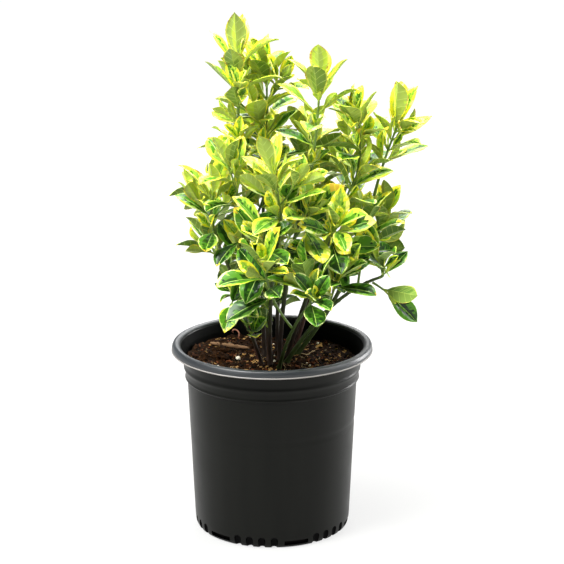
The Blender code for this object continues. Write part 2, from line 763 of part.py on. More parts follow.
def build_soil(collection, material):
    """The filling of the pot, from its floor to the uneven surface."""
    inset = WALL + GAP / MM
    wall_top = WALL_TOP_RADIUS - inset
    surface = STEP_RADIUS - inset
    profile = [(0.0, SOIL_LEVEL)]
    profile += [(radius, SOIL_LEVEL) for radius in SOIL_RINGS]
    profile += [
        (surface, SOIL_LEVEL),
        (surface, STEP_HEIGHT + 2.4),
        (wall_top, STEP_HEIGHT - 0.8 - GAP / MM),
        (FOOT_RADIUS - inset, FOOT_HEIGHT + 6.0),
        (FOOT_RADIUS - FOOT_WALL - GAP / MM, FOOT_HEIGHT + 2.0),
        (FOOT_RADIUS - FOOT_WALL - 1.0 - GAP / MM, FLOOR + GAP / MM),
        (0.0, FLOOR + GAP / MM),
    ]
    soil = turned("soil", profile, collection, material)
    mesh = evaluated_mesh(soil)
    soil.modifiers.clear()
    soil.data = mesh
    for corner in mesh.vertices:
        if corner.co.z > (SOIL_LEVEL - 1) * MM:
            corner.co.z = soil_height(corner.co.x / MM, corner.co.y / MM) * MM
    return soil


def main():
    for obj in list(bpy.data.objects):
        bpy.data.objects.remove(obj)
    collection = bpy.data.collections.new(PLANT_NAME)
    cutters = bpy.data.collections.new("cutters")
    bpy.context.scene.collection.children.link(collection)
    bpy.context.scene.collection.children.link(cutters)
    plastic = make_material("black_polyethylene", (0.012, 0.013, 0.014), 0.42)
    compost = make_material("bark_compost", (0.045, 0.022, 0.012), 0.95)
    bark = make_material("green_brown_bark", (0.06, 0.055, 0.025), 0.7)
    leaf_green = make_material("variegated_leaf", (0.18, 0.30, 0.03), 0.4)
    stems, plant = grow_plant()
    for name, limb in stems.items():
        build_stem(name, limb, collection, bark)
    section = three_sided_section(bpy.context.scene.collection)
    for name, grown in plant.items():
        build_mass("foliage_" + name, grown, section, collection, leaf_green)
    build_soil(collection, compost)
    build_pot(collection, cutters, plastic)


main()
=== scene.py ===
# Variegated Japanese spindle (Euonymus japonicus) in its nursery pot: the finished looks.
# Leaves, twigs, bark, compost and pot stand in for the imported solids, in the same frame.

import math
import random
from collections import namedtuple

import bmesh
import bpy
from mathutils import Matrix, Vector, noise
from mathutils.bvhtree import BVHTree


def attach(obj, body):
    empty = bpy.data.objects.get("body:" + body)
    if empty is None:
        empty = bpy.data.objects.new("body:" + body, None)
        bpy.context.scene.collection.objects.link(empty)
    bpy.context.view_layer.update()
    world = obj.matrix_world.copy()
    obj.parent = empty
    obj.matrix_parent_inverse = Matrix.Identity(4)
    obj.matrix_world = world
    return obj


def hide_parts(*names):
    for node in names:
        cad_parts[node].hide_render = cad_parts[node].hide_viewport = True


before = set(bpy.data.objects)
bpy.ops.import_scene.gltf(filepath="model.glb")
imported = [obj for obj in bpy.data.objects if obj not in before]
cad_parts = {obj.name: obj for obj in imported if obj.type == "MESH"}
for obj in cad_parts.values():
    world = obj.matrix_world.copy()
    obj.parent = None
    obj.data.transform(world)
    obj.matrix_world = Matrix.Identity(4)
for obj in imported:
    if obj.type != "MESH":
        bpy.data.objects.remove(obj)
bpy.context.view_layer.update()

MM = 0.001
GAP = 0.3 * MM
UP = Vector((0.0, 0.0, 1.0))

# Pot: nine inches over the rim, eight and a half tall, seven across the foot (mm)
POT_HEIGHT = 216.0
RIM_RADIUS = 114.0
CREST_RADIUS = 109.0
MOUTH_RADIUS = 103.8
LIP_HEIGHT = 207.3
COLLAR_RADIUS = 101.4
STEP_HEIGHT = 175.0
STEP_RADIUS = 98.4
WALL_TOP_RADIUS = 96.3
FOOT_RADIUS = 88.9
FOOT_HEIGHT = 12.0
UNDERSIDE_RADIUS = 84.5
WALL = 1.8
FOOT_WALL = 3.8
FLOOR = 2.6

# Foot pattern, six times round the pot: four flutes and one drain slot (mm, degrees)
FOOT_REPEATS = 6
FLUTES = 4
FLUTE_PITCH = 9.2
FLUTE_TOP = 12.5
FLUTE_MIDDLE = -12.1
SLOT_MIDDLE = 18.3
SLOT_WIDTH = 28.0
SLOT_BOTTOM = 3.4
SLOT_TOP = 8.6

# Soil: level round the stems, uneven further out (mm)
SOIL_LEVEL = 193.0
SOIL_RINGS = (50.0, 74.0)
SOIL_SWELL = 2.6
SOIL_LEFT_RISE = 6.0

# Stems: foot x y, knee x y z, top x y z, radius at the foot and the top (mm)
STEMS = {
    "stem_leader": ((-3, 4), (-6, 2, 300), (-25, 0, 385), 3.6, 2.3),
    "stem_back_left": ((-9, 22), (-14, 40, 310), (-8, 46, 400), 3.0, 1.9),
    "stem_centre": ((8, 2), (12, 0, 290), (34, -9, 375), 3.2, 1.9),
    "stem_front": ((-2, -18), (-4, -28, 290), (7, -50, 345), 2.8, 1.8),
    "stem_right_centre": ((17, 15), (44, 10, 290), (84, 6, 375), 3.2, 1.9),
    "stem_right": ((28, 24), (92, 24, 275), (113, 24, 372), 3.2, 1.9),
    "branch_low_right": ((16, -8), (63, -16, 276), (120, -22, 297), 3.0, 1.8),
    "stem_left": ((-15, 8), (-34, 4, 270), (-60, 0, 330), 2.8, 1.8),
    "stem_low_left": ((-12, -12), (-24, -30, 245), (-44, -42, 268), 2.4, 1.6),
    "stem_low_front": ((8, -26), (18, -52, 245), (40, -78, 280), 2.4, 1.6),
    "stem_back": ((6, 38), (6, 62, 290), (8, 84, 340), 2.8, 1.8),
    "stem_back_right": ((26, 42), (52, 60, 280), (76, 74, 345), 2.8, 1.8),
}
FLARE = 0.5
FLARE_HEIGHT = 9.0
STEM_RINGS = 8
RINGS_TOWARDS_FOOT = 1.6

# Leafy shoots, each a mass of its own: stem it grows on, place along that stem,
# tip x y z, leaf pairs, length of a top leaf and of a grown leaf (mm),
# turn of the first pair (degrees), side twigs, seed
SHOOTS = {
    "leader": ("stem_leader", 1.0, (-37, 5, 531), 5, 52, 46, 80, 2, 223),
    "centre": ("stem_centre", 1.0, (52, -11, 508), 7, 44, 48, 80, 0, 407),
    "right": ("stem_right", 1.0, (138, 9, 460), 5, 54, 46, 35, 0, 165),
    "front": ("stem_front", 1.0, (3, -58, 417), 5, 46, 50, 65, 2, 44),
    "right_centre": ("stem_right_centre", 1.0, (94, -4, 477), 8, 34, 48, 55, 0, 178),
    "right_front": ("stem_right_centre", 0.62, (70, -63, 364), 8, 44, 48, 10, 0, 224),
    "low_front": ("stem_low_front", 1.0, (37, -83, 310), 6, 46, 50, 10, 1, 162),
    "low_right_tip": ("branch_low_right", 1.0, (118, -28, 314), 7, 46, 36, 50, 2, 372),
    "low_right_hanging": ("branch_low_right", 0.93, (124, -30, 285), 1, 40, 44, 40, 0, 94),
    "low_right_middle": ("branch_low_right", 0.8, (105, -12, 368), 6, 26, 46, 85, 0, 120),
    "low_right_front": ("branch_low_right", 0.5, (76, -63, 314), 5, 46, 44, 60, 0, 106),
    "left_front": ("stem_front", 0.74, (-7, -78, 366), 9, 46, 50, 50, 0, 261),
    "left": ("stem_left", 1.0, (-65, -12, 388), 6, 46, 50, 75, 2, 330),
    "low_left": ("stem_low_left", 1.0, (-41, -54, 275), 4, 36, 50, 5, 0, 101),
    "bright_back": ("stem_back_left", 1.0, (-6, 40, 514), 5, 46, 50, 55, 2, 542),
    "middle": ("stem_centre", 0.8, (41, -50, 380), 5, 32, 50, 25, 0, 90),
    "low_middle": ("stem_low_front", 0.6, (-8, -100, 328), 5, 46, 50, 20, 0, 321),
    "left_inner": ("stem_left", 0.72, (-47, -36, 426), 9, 34, 50, 40, 0, 302),
    "leader_side": ("stem_leader", 0.86, (-17, 23, 477), 6, 38, 50, 80, 1, 206),
    "right_inner": ("stem_right_centre", 0.84, (94, -14, 412), 5, 46, 48, 25, 0, 322),
    "centre_back": ("stem_centre", 0.9, (44, 54, 449), 6, 30, 48, 35, 0, 93),
    "right_side": ("stem_right", 0.66, (126, 33, 352), 5, 44, 42, 40, 0, 285),
    "left_side": ("stem_left", 0.5, (-72, 42, 323), 3, 36, 48, 35, 1, 472),
    "back_middle": ("stem_back", 1.0, (-17, 98, 431), 6, 46, 50, 40, 0, 492),
    "back_right": ("stem_back_right", 1.0, (86, 73, 440), 6, 42, 50, 5, 2, 341),
    "back_left": ("stem_back_left", 0.72, (-69, 80, 371), 5, 44, 50, 50, 0, 124),
    "back_low_left": ("stem_back_left", 0.5, (-38, 71, 290), 6, 36, 44, 85, 1, 81),
    "back_low_middle": ("stem_back", 0.66, (21, 106, 313), 5, 46, 50, 75, 0, 70),
    "back_low_right": ("stem_back_right", 0.7, (116, 70, 310), 3, 42, 48, 10, 2, 444),
    "back_upper_left": ("stem_back_left", 0.86, (-40, 88, 428), 5, 42, 48, 20, 0, 612),
    "back_upper_right": ("stem_back_right", 0.84, (50, 104, 396), 5, 42, 48, 60, 0, 880),
}

# Twigs (mm; shares of a length; degrees for the turns)
TWIG_THICK = 1.5
TWIG_THIN = 1.0
TWIG_RINGS = 4
TWIG_KNEE = 0.45
LAUNCH = math.radians(52)
SIDE_TWIG_THICK = 1.1
SIDE_TWIG_THIN = 0.8
SIDE_TWIG_RINGS = 2
SIDE_TWIG_PAIRS = 2
SIDE_TWIG_LENGTHS = (20, 34)
SIDE_TWIG_OPENING = 0.85
SIDE_TWIG_KNEE = 0.6
SIDE_TWIG_RISE = 0.6
SIDE_TWIG_TURN = (45, 60)
SIDE_TWIG_SEED = 101
FIRST_SIDE_TWIG = 3
SIDE_LEAF_SHARE = 0.82
SIDE_TOP_LEAF_SHARE = 0.8

# Leaf pairs: distance below the tip as a parabola of the pair's number (mm), how far
# each pair opens from the twig (degrees), and its size against a grown leaf
PAIR_DISTANCES = (1.2, 3.4, 1.75)
LOWEST_PAIR = 0.96
LOWEST_SIDE_TWIG = 0.93
OPEN_ANGLES = (20, 33, 44, 53, 60, 64, 67, 69, 70, 70, 70)
LOWER_LEAF_SHARES = (1.0, 1.0, 1.0, 1.0, 1.0, 0.95, 0.92, 0.9, 0.9, 0.9, 0.9)
GROWN_PAIR = 2
HANGING_PAIR = 4

# How a leaf may differ from the next one (degrees; shares of its length)
OPEN_SPREAD = 9
TURN_SPREAD = 13
SIDE_TURN_SPREAD = 15
ROLL_SPREAD = 16
LEAF_LIFT = 0.12
LEAF_SAG = 0.6
FACE_TO_SKY = 0.35
FACE_LEAN = 0.1
LENGTH_SHARES = (0.9, 1.08)
WIDTH_SHARES = (0.47, 0.56)
CURLS = (-6, 42)
TOP_CURLS = (-14, 22)
FOLDS = (9, 22)
TOP_FOLD = 8

# The simple leaf: thickness (mm), place and half width of its sections
LEAF_THICKNESS = 1.2
LEAF_SECTIONS = ((0.38, 0.44), (0.75, 0.45))
BLADE_START = 0.14

# Room kept round leaves and twigs (mm)
CLEARANCE = 0.7
SOIL_CLEARANCE = 3.0
RIM_CLEARANCE = 4.0

# Tries at a leaf that would touch something: pitch and roll (degrees), size
TRIES = (
    (0, 0, 1.0), (-12, 0, 1.0), (12, 0, 1.0), (0, 20, 1.0), (0, -20, 1.0),
    (-20, 12, 0.92), (16, -24, 0.88), (-6, 30, 0.8), (10, -34, 0.74),
)

# Camera: lens and sensor (mm), place (m) and how far it looks down (degrees)
LENS = 127.66
SENSOR = 36.0
CAMERA_PLACE = (0.0112, -2.1698, 0.8794)
CAMERA_DOWN = 15.303

# Studio: strength of the pale room low down and overhead, with the rise between; glow of the
# paper near the pot and far off, with the distances between (m); corners of the floor (m)
ROOM_STRENGTHS = (1.0, 0.05)
ROOM_RISE = (0.08, 0.22)
PAPER_GLOW = (0.72, 1.0)
PAPER_REACH = (0.2, 2.2)
FLOOR_CORNERS = ((-14, -12, 0), (14, -12, 0), (14, 26, 0), (-14, 26, 0))

# Soft boxes: place and what it faces (m), width and height (m), power (W)
PLANT_MIDDLE = (0.0, 0.0, 0.35)
POT_MIDDLE = (0.0, 0.0, 0.12)
SOFT_BOXES = {
    "overhead_box": ((-0.2, -0.1, 2.0), PLANT_MIDDLE, 1.3, 1.3, 74),
    "left_box": ((-1.2, -0.9, 2.0), PLANT_MIDDLE, 0.8, 0.8, 66),
    "right_box": ((1.7, -0.3, 1.4), PLANT_MIDDLE, 0.8, 1.0, 24),
    "back_box": ((0.3, 1.9, 1.7), PLANT_MIDDLE, 1.6, 1.0, 46),
    "edge_box": ((1.5, 0.9, 0.45), POT_MIDDLE, 0.4, 0.9, 24),
}

# Finer growth that only shows here (mm, shares, radians). Each top rosette holds a bud, and
# most axils a short shoot with one pair of leaves.
SHORT_THICK = 0.7
SHORT_THIN = 0.5
BUD_LENGTH = 2.6
BUD_LEAF_SHARE = 0.55
FIRST_AXIL = 1
AXIL_SHARE = 0.65
AXIL_OPENING = 0.7
AXIL_LENGTHS = (3, 8)
AXIL_LEAVES = (18, 34)

# The fullest shoots also branch at the older nodes below their leaves
FULL_SHOOTS = (
    "leader", "leader_side", "bright_back", "centre", "back_middle", "back_right",
    "back_upper_left", "back_upper_right", "back_low_right", "centre_back", "middle",
    "left_inner", "front", "low_left", "left_front",
)
NODE_SHARE = 0.8
NODE_PAIRS = 2
NODE_OPENING = 0.8
NODE_LENGTHS = (5, 12)
NODE_LEAVES = (24, 42)
NODE_TOP_SHARE = 0.8

# Some stems have short shoots low down, between two distances from the foot and never beyond
# a share of the stem
LEAFY_STEMS = (
    "stem_leader", "stem_back_left", "stem_left", "stem_low_left", "stem_front", "stem_back",
)
FOOT_PAIRS = 2
FOOT_SHOOTS_FROM = 36
FOOT_SHOOTS_TO = 130
FOOT_SHOOTS_SHARE = 0.8
FOOT_SHOOT_LENGTHS = (3, 9)
FOOT_SHOOT_STEPS = (12, 24)
FOOT_LEAVES = (16, 36)

# Two masses have larger leaves than their solids (shares)
BIGGER_LEAVES = {"low_right_hanging": 1.18, "low_right_tip": 1.1}

# Joined pieces: a piece of leaves ends with the shoot that takes it past this many triangles,
# and edges sharper than these stay sharp (degrees)
PIECE_TRIANGLES = 150000
LEAF_EDGE_ANGLE = 75
TWIG_EDGE_ANGLE = 60
BARK_EDGE_ANGLE = 70
SOIL_EDGE_ANGLE = 60
CHIP_EDGE_ANGLE = 30
POT_EDGE_ANGLE = 32

# Bark (mm, shares of the solid's radius): ridges along the stem, knobs, and pairs of leaf scars
BARK_THINNER = 0.88
BARK_SIDES = 14
BARK_STEP = 1.5
BARK_BELOW = 2.5
BARK_TIP = 0.4
BARK_RIDGE = 0.22
RIDGES_ROUND = 2.2
RIDGE_LENGTH = 11
RIDGE_SHIFTS = (0, 50)
BARK_KNOB = 0.16
KNOB_SCALE = 0.35
KNOBS_ROUND = 1.5
SCAR_SPACING = 22.0
SCAR_REACH = 1.3
SCAR_RISE = 0.5
SCAR_RING = 0.4

# Compost (mm): rings and sides of its mesh, and its lumps, crumbs and grit, each with their
# spacing, level in the noise and height
SOIL_GRID = 90
SOIL_SIDES = 220
SOIL_BUMPS = ((13.0, 3.0, 3.2), (4.5, 9.0, 2.0), (1.9, 17.0, 0.9))

# Bark chips (mm, shares of the length, radians): every ninth is a large flake
CHIP_SEED = 41
CHIPS = 2200
CHIP_LENGTHS = (1.6, 4.8)
FLAKE_LENGTHS = (4.0, 8.5)
FLAKE_EVERY = 9
CHIP_REACH = 95.0
STEM_ROOM = 5.5
CHIP_TILT = 0.5
CHIP_WIDTHS = (0.35, 0.75)
CHIP_THICKS = (0.12, 0.3)
CHIP_LIFTS = (0.0, 0.45)
CHIP_CORNERS = (0.65, 1.0)
CHIP_SHARES = (8, 5, 4, 3, 1)

# Clods (mm, degrees, shares of the radius), with the scale and height of the noise on them
CLOD_SEED = 19
CLODS = 22
CLOD_SIDE = (95, 215)
CLOD_PLACES = (52, 84)
CLOD_SIZES = (3.0, 8.0)
CLOD_LIFTS = (-0.1, 0.3)
CLOD_DETAIL = 4
CLOD_BUMPS = ((0.13, 0.5), (0.45, 0.28), (1.3, 0.12))
CLOD_FLATTER = 0.7

# Litter (mm): the dead twig's ends, the pale fibre's place, length, turn, bend and lift, the
# curled strip of bark, and many root fibres
LITTER_SEED = 77
DEAD_TWIG = ((-72, 44), (-27, 38))
DEAD_TWIG_LIFT = 3.0
DEAD_TWIG_THICK = 2.3
DEAD_TWIG_STEPS = 24
DEAD_TWIG_SIDES = 14
PALE_FIBRE = (33, 22, 22, 0.3, 0.2, 1.0)
PALE_FIBRE_THICK = 0.6
CURL = (-44, 76)
CURL_POINTS = 14
CURL_TURN = 22
CURL_START = -60
CURL_REACH = 5.5
CURL_TIGHTER = 0.22
CURL_LIFT = 4
CURL_THICK = 0.9
FIBRES = 60
FIBRE_ROOM = 12
FIBRE_LENGTHS = (7, 20)
FIBRE_BEND = 0.5
FIBRE_LIFT = 0.6
FIBRE_WAVES = (-0.3, 0.5)
FIBRE_STEP = 1.5
FIBRE_LEAST_STEPS = 8
FIBRE_LEAST_POINTS = 4
FIBRE_THICKS = (0.2, 0.45)
FIBRE_SIDES = 5
ROD_SIDES = 7
ROD_TAPER = 0.5
ROD_ROUGH = 0.5
ROD_GRAIN = 0.6

# Perlite (mm): three large grains, each with its place and size, and many small ones
GRAIN_SEED = 5
LARGE_GRAINS = ((-38.8, 3.0, 5.6), (-54.7, 9.0, 3.6), (-12.0, 80.0, 3.4))
SMALL_GRAINS = 22
GRAIN_ROOM = 3
GRAIN_SIZES = (1.54, 3.08)
GRAIN_LIFT = 0.2
GRAIN_DETAIL = 2
GRAIN_BUMPS = ((0.9, 0.45),)

# Pot (mm): its thin wall swells in slow waves, and a stacked pot has pressed a ring into it
POT_SIDES = 180
WALL_STEP = 3.0
WALL_WAVE = 0.3
WALL_WAVE_TURN = 1.6
WALL_WAVE_RISE = 60.0
WALL_WAVE_FROM = 0.02
STACK_RING = 126.0
STACK_RING_HALF = 2.2
STACK_RING_DEPTH = 0.9
STACK_RING_SIDE = math.radians(-35)
COLLAR_FULLER = 0.5
COLLAR_BEAD_HEIGHT = 188.5
CORNER_SHARE = 0.45
CORNER_STEPS = 4

# Where finishes meet on the pot (mm): the lip's painted highlight is the rim's outermost edge up
# to a height over the lip, and the rim with its painted sheen starts over the lip and outside the mouth
LIP_IN = 0.35
LIP_RISE = 1.6
RIM_RISE = 0.5
RIM_OUT = 1.0

# Flutes (mm): half width, how deep each is hollowed, and the step where it runs out at the floor
FLUTE_SIDES = 24
FLUTE_HALF = 4.1
FLUTE_HIGHER = 0.8
FLUTE_HOLLOW = 3.3
FLUTE_HOLLOW_BELOW = 8.5
FLUTE_STEP = (1.9, 2.5)
FLUTE_BELOW = -4.0
FLUTE_ARCH_STEP = 15
SLOT_REACH = 18.0

# The leaf's skin: rows along the blade, steps of its midrib, points round a row
STALK_SHARE = 0.13
STALK_ROWS = [0.01, 0.065, 0.13]
BLADE_ROWS = 22
SMALL_BLADE_ROWS = 11
SMALL_LEAF = 24.0
LAST_ROW = 0.99
SPINE_STEPS = 32
LONGER = 1.12
WIDER = 1.04
RING = 20

# Outline: how fast the blade widens from its base, how square its shoulders are and how
# blunt its tip is, each between two limits
OUTLINE_BASES = (0.75, 1.0)
OUTLINE_SHOULDERS = (2.1, 3.5)
OUTLINE_TIPS = (0.8, 1.3)
OUTLINE_STEPS = 40

# Relief (mm, or shares of the half width): veins lean towards the tip, edges roll back
VEIN_LEAN = 0.62
VEIN_EVERY = 4
VEIN_STEP = 0.22
FOLD_MORE = 1.35
RIB_HALF = 0.035
RIB_FOOT = 1.6
STALK_HALF = 0.8
STALK_TAPER = 6
SKIN_THICK = 0.42
RIB_THICK = 0.4
RIB_GROOVE = 0.12
PUCKER = 0.42
PUCKER_BETWEEN = -0.7
PUCKER_END = 1.1
TOOTH = 0.014
ROLLS = (0.1, 0.55)
WAVES = (0.2, 1.2)
WAVE_TURNS = 9
WAVE_START = 3
CAMBERS = (-0.04, 0.13)
TIP_CURLS = (-60, 260)
TIP_CURL_FROM = 0.7

# Age, from 0 for a yellow young leaf to 1 for a deep green one: that of the finer growth, and
# for the others their spread, what each pair below the tip adds and what a low place adds,
# between two heights (mm)
# A low place ages a leaf partly as real older growth and partly as painted shade of the lower crown
FINER_AGES = (0.0, 0.3)
AGE_SPREAD = (-0.05, 0.3)
AGE_OF_PAIR = 0.08
AGE_AND_SHADE_OF_LOW = 0.6
YOUNG_FROM = 285.0
YOUNG_FULL = 390.0

# Variegation (shares of the half width): the green middle and the band round it, each with
# where it ends on a young leaf, how much further out on an old one, and its spread. Both end
# nearer in towards the tip, more so on a young leaf.
MIDDLE_END = (0.2, 0.35, 0.22)
BAND_END = (0.52, 0.38, 0.2)
BAND_JUMP = 0.13
BAND_LEAST = 0.14
BAND_MOST = 0.96
BANDS_APART = 0.06
NEARER_IN = 0.75
NEARER_IN_OLD = 0.45
NEARER_IN_BAND = 0.8
NEARER_IN_POWER = 5

# Twigs (mm)
TWIG_SIDES = 8
TWIG_STEP = 2.0
TWIG_LEAST_RINGS = 6
TWIG_SUNK = 1.2
TWIG_END = 0.3
NODE_REACH = 1.6
NODE_SWELL = 0.35

# Sizes of the patterns in the finishes (mm; across, across and along): flow streaks, scuffs and
# mould texture of the plastic, pits of dry matter, furrows and patches of bark, and crumbs and
# damp patches of compost. Mould texture of 0.4 mm and pits of 0.3 mm are drawn coarser, so that
# they show.
STREAKS = (16.67, 16.67, 200)
SCUFF = 26.3
MOULD_TEXTURE = 1.25
PIT = 1.053
FURROWS = (2.38, 2.38, 22.2)
BARK_PATCH = 16.67
CRUMB = 3.03
DAMP_PATCH = 22.2

# Depth of each relief (mm), and how far up the patches of bark carry the brown (m)
TEXTURE_DEPTH = 0.2
PIT_DEPTH = 0.6
FURROW_DEPTH = 0.4
CRUMB_DEPTH = 1.2
PATCH_RISE = 0.06

# Steps in which a limb's length is measured, the shortest cross direction that can be trusted,
# and the least curl of a midrib (radians)
LIMB_STEPS = 16
SHORT_SIDE = 0.2
LEAST_CURL = 0.001

Spray = namedtuple("Spray", "limb pairs top_leaf leaf turn seed")
Leaf = namedtuple("Leaf", "root along face length width curl fold pair")
Form = namedtuple("Form", "spine outline roll wave camber turns")


def mm(*values):
    """A vector given in millimetres."""
    return Vector(values) * MM


def lean(heading, out, angle):
    """A direction that leans from a heading towards another one by an angle."""
    return heading * math.cos(angle) + out * math.sin(angle)


class Limb:
    """A round limb that tapers along one smooth curve from its root to its tip."""

    def __init__(self, root, knee, tip, thick, thin, rings, towards_foot=1.0):
        self.root = root
        self.knee = knee
        self.tip = tip
        self.thick = thick
        self.thin = thin
        self.places = [(i / rings) ** towards_foot for i in range(rings + 1)]
        steps = [self.at(i / LIMB_STEPS) for i in range(LIMB_STEPS + 1)]
        self.length = sum((b - a).length for a, b in zip(steps, steps[1:]))

    def at(self, t):
        return self.root * (1 - t) ** 2 + self.knee * (2 * t * (1 - t)) + self.tip * t ** 2

    def as_built(self, t):
        """The middle at a place along the straight lengths that the solid is made of."""
        for a, b in zip(self.places, self.places[1:]):
            if t <= b:
                return self.at(a).lerp(self.at(b), (t - a) / (b - a))
        return self.tip

    def heading(self, t):
        return ((self.knee - self.root) * (1 - t) + (self.tip - self.knee) * t).normalized()

    def radius(self, t):
        return self.thick + (self.thin - self.thick) * t


def make_stems():
    """The bare stems and boughs, by name."""
    stems = {}
    for name, (foot, knee, top, thick, thin) in STEMS.items():
        root = mm(*foot, SOIL_LEVEL)
        rings = (STEM_RINGS, RINGS_TOWARDS_FOOT)
        stems[name] = Limb(root, mm(*knee), mm(*top), thick * MM, thin * MM, *rings)
    return stems


def shoot_axis(stem, place, tip):
    """The stem inside a mass, from 0.3 mm clear of its bough to the tip."""
    heading = stem.heading(place)
    if place >= 1.0:
        root = stem.tip + heading * GAP
        launch = heading
        thick = stem.thin
    else:
        outward = tip - stem.as_built(place)
        outward -= heading * outward.dot(heading)
        outward.normalize()
        launch = lean(heading, outward, LAUNCH)
        thick = TWIG_THICK * MM
        root = stem.as_built(place) + outward * (stem.radius(place) + GAP + thick * math.cos(LAUNCH))
    knee = root + launch * (tip - root).length * TWIG_KNEE
    return Limb(root, knee, tip, thick, TWIG_THIN * MM, TWIG_RINGS)


def across(heading, turn):
    """A direction square to the heading, turned about it in degrees."""
    side = heading.cross(Vector((0.0, -1.0, 0.0)))
    if side.length < SHORT_SIDE:
        side = heading.cross(Vector((1.0, 0.0, 0.0)))
    return Matrix.Rotation(math.radians(turn), 3, heading) @ side.normalized()


def below_tip(pair):
    """Distance of a leaf pair below its twig's tip: crowded first, then apart."""
    first, step, growth = PAIR_DISTANCES
    return (first + step * pair + growth * pair * pair) * MM


def node_place(limb, pair):
    """The share of a twig's length at which a leaf pair sits."""
    return 1 - below_tip(pair) / limb.length


def shoot_sprays(name, stems):
    """A shoot's main stem and the side twigs that its seed gives it."""
    stem, place, tip, pairs, top_leaf, leaf, turn, side_twigs, seed = SHOOTS[name]
    axis = shoot_axis(stems[stem], place, mm(*tip))
    sprays = [Spray(axis, pairs, top_leaf * MM, leaf * MM, turn, seed)]
    draw = random.Random(seed * SIDE_TWIG_SEED)
    lowest = axis.length * LOWEST_SIDE_TWIG
    nodes = [k for k in range(FIRST_SIDE_TWIG, pairs) if below_tip(k) < lowest]
    for i in range(min(side_twigs, len(nodes))):
        node = nodes[(i * 2 + seed) % len(nodes)]
        t = node_place(axis, node)
        heading = axis.heading(t)
        around = turn + 90 * node + 180 * (i % 2) + draw.uniform(-SIDE_TURN_SPREAD, SIDE_TURN_SPREAD)
        out = across(heading, around)
        launch = lean(heading, out, SIDE_TWIG_OPENING)
        reach = draw.uniform(*SIDE_TWIG_LENGTHS) * MM
        root = axis.at(t)
        knee = root + launch * reach * SIDE_TWIG_KNEE
        end = knee + (launch + UP * SIDE_TWIG_RISE).normalized() * reach * (1 - SIDE_TWIG_KNEE)
        twig = Limb(root, knee, end, SIDE_TWIG_THICK * MM, SIDE_TWIG_THIN * MM, SIDE_TWIG_RINGS)
        size = leaf * SIDE_LEAF_SHARE * MM
        first, step = SIDE_TWIG_TURN
        turned_by = turn + first + step * i
        top = size * SIDE_TOP_LEAF_SHARE
        sprays.append(Spray(twig, SIDE_TWIG_PAIRS, top, size, turned_by, seed * 10 + i))
    return sprays


def leaf_places(spray):
    """Pair number, side number, root, heading and outward direction of each leaf."""
    limb = spray.limb
    for pair in range(spray.pairs):
        if below_tip(pair) > limb.length * LOWEST_PAIR:
            return
        t = node_place(limb, pair)
        heading = limb.heading(t)
        for side in range(2):
            yield pair, side, limb.at(t), heading, across(heading, spray.turn + 90 * pair + 180 * side)


def make_leaf(spray, place, change):
    """One leaf of an opposite pair, with the small differences its seed gives it."""
    pair, side, root, heading, out = place
    pitch, turn, share = change
    draw = random.Random(f"{spray.seed}-{pair}-{side}")
    tilt = math.radians(OPEN_ANGLES[pair] + draw.uniform(-OPEN_SPREAD, OPEN_SPREAD) + pitch)
    around = math.radians(draw.uniform(-TURN_SPREAD, TURN_SPREAD) + turn)
    out = Matrix.Rotation(around, 3, heading) @ out
    sag = draw.uniform(-LEAF_LIFT, LEAF_SAG) * min(pair / HANGING_PAIR, 1.0)
    along = (lean(heading, out, tilt) + UP * (LEAF_LIFT - sag)).normalized()
    face = (heading - along * heading.dot(along)).normalized()
    face += UP * FACE_TO_SKY + out * draw.uniform(-FACE_LEAN, FACE_LEAN)
    face = (face - along * face.dot(along)).normalized()
    face = Matrix.Rotation(math.radians(draw.uniform(-ROLL_SPREAD, ROLL_SPREAD)), 3, along) @ face
    grown = min(pair / GROWN_PAIR, 1.0)
    size = spray.top_leaf + (spray.leaf - spray.top_leaf) * grown
    length = size * LOWER_LEAF_SHARES[pair] * draw.uniform(*LENGTH_SHARES) * share
    width = length * draw.uniform(*WIDTH_SHARES)
    curl = draw.uniform(*CURLS) if pair > 0 else draw.uniform(*TOP_CURLS)
    fold = draw.uniform(*FOLDS) + (TOP_FOLD if pair < GROWN_PAIR else 0)
    return Leaf(root, along, face, length, width, math.radians(curl), math.radians(fold), pair)


def bent(leaf, angle):
    """Heading and face of a leaf where its midrib has bent down by an angle."""
    return lean(leaf.along, leaf.face, -angle), lean(leaf.face, leaf.along, angle)


def midrib(leaf, u):
    """Place, heading and face of the midrib at a share of the leaf's length."""
    bend = leaf.curl if abs(leaf.curl) > LEAST_CURL else LEAST_CURL
    angle = bend * u
    run = math.sin(angle) / bend * leaf.length
    drop = (1 - math.cos(angle)) / bend * leaf.length
    return leaf.root + leaf.along * run - leaf.face * drop, *bent(leaf, angle)


def leaf_solid(leaf, start=0.0, extra=0.0):
    """Points and faces of the simple leaf: its root, four-point sections and its tip."""
    points = [midrib(leaf, start)[0]]
    for u, half in LEAF_SECTIONS:
        spot, heading, face = midrib(leaf, u)
        side = heading.cross(face)
        reach = half * leaf.width + extra
        edge = side * (reach * math.cos(leaf.fold))
        lift = face * (reach * math.sin(leaf.fold))
        thick = face * (LEAF_THICKNESS * MM / 2 + extra)
        points += [spot + edge + lift, spot + thick, spot - edge + lift, spot - thick]
    spot, heading, face = midrib(leaf, 1.0)
    points.append(spot + heading * extra)
    tip = len(points) - 1
    faces = []
    for i in range(4):
        j = (i + 1) % 4
        faces += [(0, 1 + j, 1 + i), (1 + i, 1 + j, 5 + j), (1 + i, 5 + j, 5 + i), (5 + i, 5 + j, tip)]
    return points, faces


def ring_points(spot, heading, radius, sides):
    """Points of a ring round a limb."""
    return [spot + across(heading, 360 * i / sides) * radius for i in range(sides)]


